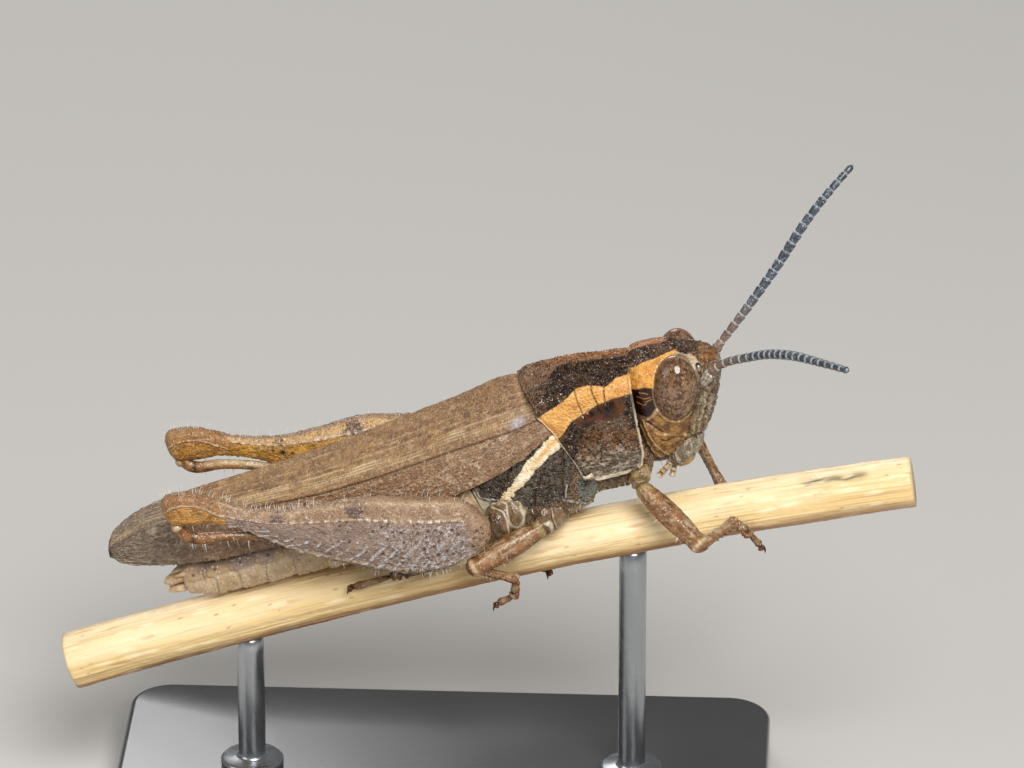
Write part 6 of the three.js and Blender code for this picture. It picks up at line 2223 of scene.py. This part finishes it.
@dataclass
class Stand:
    """A flat display base and two short rods that hold the stem."""

    length: float = 24.0
    depth: float = 13.0
    height: float = 1.5
    corner: float = 1.6
    bevel: float = 0.25
    hub: float = 6.0                 # how far the flat faces' inner rings lie from the edge
    rod_half: float = 0.5
    rod_x: tuple[float, float] = (-7.0, 7.0)
    seat: float = 0.15               # how far each rod's top reaches into the stem
    # the collar round each rod's foot: radius and height above the base
    collar: Rows = ((0.02, -0.02), (1.05, -0.02), (1.15, 0.05), (1.15, 0.3), (1.05, 0.4),
                    (0.6, 0.42), (0.5, 0.5))

    def build(self) -> None:
        """Makes the base and the rods."""
        self.build_base()
        for name, x in zip(("rear", "front"), self.rod_x):
            self.build_rod(name, x)

    def build_base(self) -> None:
        """A plate with rounded corners and eased edges."""
        straight = np.array([self.length / 2 - self.corner, self.depth / 2 - self.corner])
        outline = np.array([
            straight * (sx, sy) + self.corner * np.array([math.cos(turn), math.sin(turn)])
            for sx, sy, start in ((1, 1, 0), (-1, 1, 90), (-1, -1, 180), (1, -1, 270))
            for turn in np.radians(np.linspace(start, start + 90, 24))])
        edge = [(self.bevel * (1 - math.cos(turn)), self.bevel * (1 + math.sin(turn)))
                for turn in np.radians(np.linspace(-90, 0, 9))]
        profile = [(self.hub, 0.0), *edge, *[(inset, self.height - up) for inset, up in edge[::-1]],
                   (self.hub, self.height)]
        out = (outline - np.clip(outline, -straight, straight)) / self.corner
        rows = []
        for inset, up in profile:
            flat = inset == self.hub
            ring = outline * (1 - 2 * inset / self.length) if flat else outline - out * inset
            rows.append(np.column_stack([ring, np.full(len(ring), up)]))
        points = to_body(*np.moveaxis(np.array(rows), -1, 0))
        grid = Grid(points, wraps=True)
        dress(grid.shape(), "stand_base_plate", CAST_ACRYLIC, "stand_base")

    def build_rod(self, name: str, x: float) -> None:
        """A rod with a rounded top, seated in a thin collar on the base."""
        top = Perch().underside(x) + self.seat
        profile = [(r, self.height + up) for r, up in self.collar]
        profile += [(self.rod_half, z) for z in np.linspace(self.height + 0.6, top - 0.2, 12)]
        profile += [(self.rod_half * 0.85, top - 0.08), (self.rod_half * 0.5, top), (0.02, top)]
        turn = np.linspace(0, 2 * math.pi, 64, endpoint=False)
        ring = np.array([[(x + r * math.cos(a), r * math.sin(a), z) for a in turn]
                         for r, z in profile])
        grid = Grid(to_body(*np.moveaxis(ring, -1, 0)), wraps=True)
        dress(grid.shape(), f"stand_rod_{name}_wire", DRAWN_STEEL, f"stand_rod_{name}")


# ------------------------------------------------------------------ hairs

# Body hair: clear chitin bristle; glassy, so that it catches the light white.
BRISTLE = Finish(
    name="bristle", slot="leg", colour="#e9e4da", mottle="#cfc5b5", size=0.3, rough=0.22,
    rough_spread=0.04, see_through=0.1,
)


@dataclass(frozen=True)
class Coat:
    """Hairs of one kind on one finished piece."""

    host: str
    name: str
    mark: str                        # where they grow, 0 to 1
    per_mm2: float
    length: float                    # mm
    flow: tuple[float, float, float]
    seed: int
    half: float = 0.015              # half thickness at the root, mm
    stray: float = 0.3


@dataclass
class Hairs:
    """All the coats, grown by one node tree."""

    sides: int = 5
    segments: int = 4
    patch_width: float = 0.003       # of the unwrap, for each hair
    taper: float = 0.15              # thickness of the tip against the root
    bend: float = 0.22               # how far the tip leans, as a share of the length

    def coats(self) -> list[Coat]:
        """Where the hairs stand, how thick and how long."""
        coats = []
        for i, side in enumerate(SIDES):
            thigh, shin = f"thigh_{side}", f"hind_shin_{side}"
            coats += [
                Coat(thigh, f"thigh_top_hairs_{side}", "hair_top", 34.0, 0.3, (-0.15, 0, 0.5),
                     3 + i, stray=0.25),
                Coat(thigh, f"thigh_low_hairs_{side}", "hair_low", 10.0, 0.26,
                     (-0.1, 0, -0.6), 5 + i),
                Coat(shin, f"hind_shin_hairs_{side}", "hair", 6.0, 0.36, (0.2, 0, -0.8), 7 + i),
            ]
            for k, pair in enumerate(("fore", "middle")):
                thigh, shin = f"{pair}_{side}_thigh", f"{pair}_{side}_shin"
                seed = 4 * i + k
                coats += [
                    Coat(thigh, f"{thigh}_hairs", "hair", 4.0, 0.22, (0.1, 0, -0.6), 11 + seed),
                    Coat(shin, f"{shin}_hairs", "hair", 9.0, 0.17, (0.1, 0, -0.2), 23 + seed,
                         half=0.012),
                ]
        return coats + [
            Coat("abdomen_rings", "belly_hairs", "hair", 1.6, 0.16, (-0.8, 0, -0.2), 41, half=0.01),
            Coat("thorax_box", "breast_hairs", "hair", 5.0, 0.2, (0.2, 0, -0.5), 42),
            Coat("head_capsule", "face_hairs", "hair", 3.0, 0.12, (0.4, 0, -0.3), 43, half=0.01),
        ]

    def build(self) -> None:
        """Grows each coat on a copy of its host's skin."""
        tree = self.hair_tree()
        for coat in self.coats():
            base = linked(coat.name, bpy.data.objects[coat.host].data.copy())
            self.where.inputs["Name"].default_value = coat.mark
            piece = tree.grow(
                base, coat.name, per_square_metre=coat.per_mm2 / MM**2,
                hair_length=coat.length * MM,
                root_half=coat.half * MM, flow=coat.flow, stray=coat.stray, seed=coat.seed)
            self.unwrap(piece.data)
            place_piece(piece, BRISTLE.slot)

    def hair_tree(self) -> NodeTree:
        """The node tree: scatter roots, stand a tapered bristle on each, make them real."""
        tree = NodeTree("body hairs", {
            "Per square metre": ("NodeSocketFloat", 1e7),
            "Hair length": ("NodeSocketFloat", 0.0002),
            "Root half": ("NodeSocketFloat", 0.00001),
            "Flow": ("NodeSocketVector", (0.0, 0.0, 0.0)),
            "Stray": ("NodeSocketFloat", 0.3), "Seed": ("NodeSocketInt", 1),
        })
        given = tree.given
        self.where = tree.named("hair")
        density = tree.math("MULTIPLY", given["Per square metre"], self.where.outputs[0])
        roots = tree.node("GeometryNodeDistributePointsOnFaces", {
            "Mesh": given["Geometry"], "Density": density, "Seed": given["Seed"]},
            distribute_method="RANDOM").outputs
        stray = tree.out("FunctionNodeRandomValue", {
            "Min": (-1.0, -1.0, -1.0), "Max": (1.0, 1.0, 1.0), "Seed": given["Seed"]},
            data_type="FLOAT_VECTOR")
        stray = tree.out("ShaderNodeVectorMath", {0: stray, "Scale": given["Stray"]},
                         operation="SCALE")
        along = tree.out("ShaderNodeVectorMath", {0: roots["Normal"], 1: given["Flow"]},
                         operation="ADD")
        along = tree.out("ShaderNodeVectorMath", {0: along, 1: stray}, operation="ADD")
        turn = tree.out("FunctionNodeAlignRotationToVector", {"Vector": along}, axis="Z")
        size = tree.node("FunctionNodeRandomValue", {
            "Min": 0.55, "Max": 1.15, "Seed": given["Seed"]}, data_type="FLOAT").outputs[1]
        cone = tree.out("GeometryNodeMeshCone", {
            "Vertices": self.sides, "Side Segments": self.segments, "Fill Segments": 1,
            "Radius Top": tree.math("MULTIPLY", given["Root half"], self.taper),
            "Radius Bottom": given["Root half"], "Depth": given["Hair length"]})
        share = tree.math("DIVIDE", tree.height(), given["Hair length"])
        lean = tree.math("MULTIPLY", tree.math("POWER", share, 2.0),
                         tree.math("MULTIPLY", given["Hair length"], self.bend))
        offset = tree.out("ShaderNodeCombineXYZ", {
            "X": lean, "Z": tree.math("MULTIPLY", given["Root half"], -1.0)})
        hair = tree.out("GeometryNodeSetPosition", {"Geometry": cone, "Offset": offset})
        tree.grow_on(roots["Points"], hair, turn, size, BRISTLE)
        return tree

    def unwrap(self, mesh: bpy.types.Mesh) -> None:
        """Lays each hair in a small patch round its root's place on the skin's own unwrap."""
        count = len(mesh.vertices)
        root = np.zeros((2, count), np.float32)
        for name, values in zip(("skin_u", "skin_v"), root):
            mesh.attributes[name].data.foreach_get("value", values)
        rings = self.segments + 1
        number = np.arange(count) % (rings * self.sides)
        across = (number % self.sides) / (self.sides - 1) - 0.5
        along = (number // self.sides) / (rings - 1) - 0.5
        uv = np.clip(root + self.patch_width * np.stack([across, along]), 0, 1).T
        corner = np.zeros(len(mesh.loops), np.int32)
        mesh.loops.foreach_get("vertex_index", corner)
        layer = mesh.uv_layers.new(name="OFBake")
        layer.data.foreach_set("uv", uv[corner].astype(np.float32).ravel())
        for name in [a.name for a in mesh.attributes if a.data_type == "FLOAT"]:
            mesh.attributes.remove(mesh.attributes[name])


PARTS = (Head, NeckShield, Thorax, Wings, Abdomen, Legs, Feelers, Perch, Stand, Hairs)


# ------------------------------------------------------------------ studio


@dataclass
class Studio:
    """Camera, soft lights and a pale floor."""

    target: tuple[float, float, float] = (2.596, 0.0, 17.24)
    azimuth: float = 3.0
    elevation: float = 25.0
    distance: float = 280.0
    lens: float = 273.4
    sensor: float = 36.0
    surround: float = 0.2            # strength of the pale surround
    floor_reach: float = 3.0         # from its middle to each edge, m
    # name, place, width and power of each lamp
    lamps: tuple[tuple[str, tuple[float, float, float], float, float], ...] = (
        ("key", (58, -170, 192), 140, 0.77),
        ("fill", (-220, -120, 140), 160, 0.14),
        ("rim", (-60, 200, 160), 120, 0.16),
    )
    lamp_aim: tuple[float, float, float] = (2, 0, 14)

    def build(self) -> None:
        """Sets up everything round the model."""
        self.build_camera()
        self.build_lights()
        self.build_floor()

    def sight(self) -> Vector:
        """The direction in which the camera looks."""
        a, e = math.radians(self.azimuth), math.radians(self.elevation)
        return Vector((-math.sin(a) * math.cos(e), math.cos(a) * math.cos(e), -math.sin(e)))

    def build_camera(self) -> None:
        """A long lens that looks down on the animal's right side."""
        data = bpy.data.cameras.new("camera")
        data.lens, data.sensor_width = self.lens, self.sensor
        data.clip_start, data.clip_end = 0.005, 20.0
        camera = linked("camera", data)
        sight = self.sight()
        camera.location = (Vector(self.target) - sight * self.distance) * MM
        camera.rotation_euler = sight.to_track_quat("-Z", "Y").to_euler()
        bpy.context.scene.camera = camera

    def build_lights(self) -> None:
        """A soft key above the camera's right, a broad fill and a pale surround."""
        world = bpy.data.worlds.new("surround")
        bpy.context.scene.world = world
        world.use_nodes = True
        back = world.node_tree.nodes["Background"]
        back.inputs["Color"].default_value = (1.0, 0.99, 0.97, 1.0)
        back.inputs["Strength"].default_value = self.surround
        for name, place, size, power in self.lamps:
            light = bpy.data.lights.new(name, "AREA")
            light.shape, light.size, light.energy = "DISK", size * MM, power
            lamp = linked(name, light)
            lamp.location = Vector(place) * MM
            aim = Vector(self.lamp_aim) * MM - lamp.location
            lamp.rotation_euler = aim.to_track_quat("-Z", "Y").to_euler()
        bpy.context.scene.view_settings.view_transform = "Standard"

    def build_floor(self) -> None:
        """A wide pale floor under the stand's base: matt paint, so it takes soft shadows."""
        reach = self.floor_reach
        mesh = bpy.data.meshes.new("floor")
        corners = [(a * reach, b * reach, 0) for a, b in ((-1, -1), (1, -1), (1, 1), (-1, 1))]
        mesh.from_pydata(corners, [], [(0, 1, 2, 3)])
        material = bpy.data.materials.new("floor_paint")
        material.use_nodes = True
        shader = material.node_tree.nodes["Principled BSDF"]
        shader.inputs["Base Color"].default_value = linear("#c2bfba")
        shader.inputs["Roughness"].default_value = 0.8
        mesh.materials.append(material)
        linked("floor", mesh)


def main() -> None:
    logging.basicConfig(level=logging.INFO, format="%(name)s: %(message)s")
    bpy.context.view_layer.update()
    Studio().build()
    for part in PARTS:
        part().build()
        log.info("built %s", part.__name__)


if __name__ == "__main__":
    main()
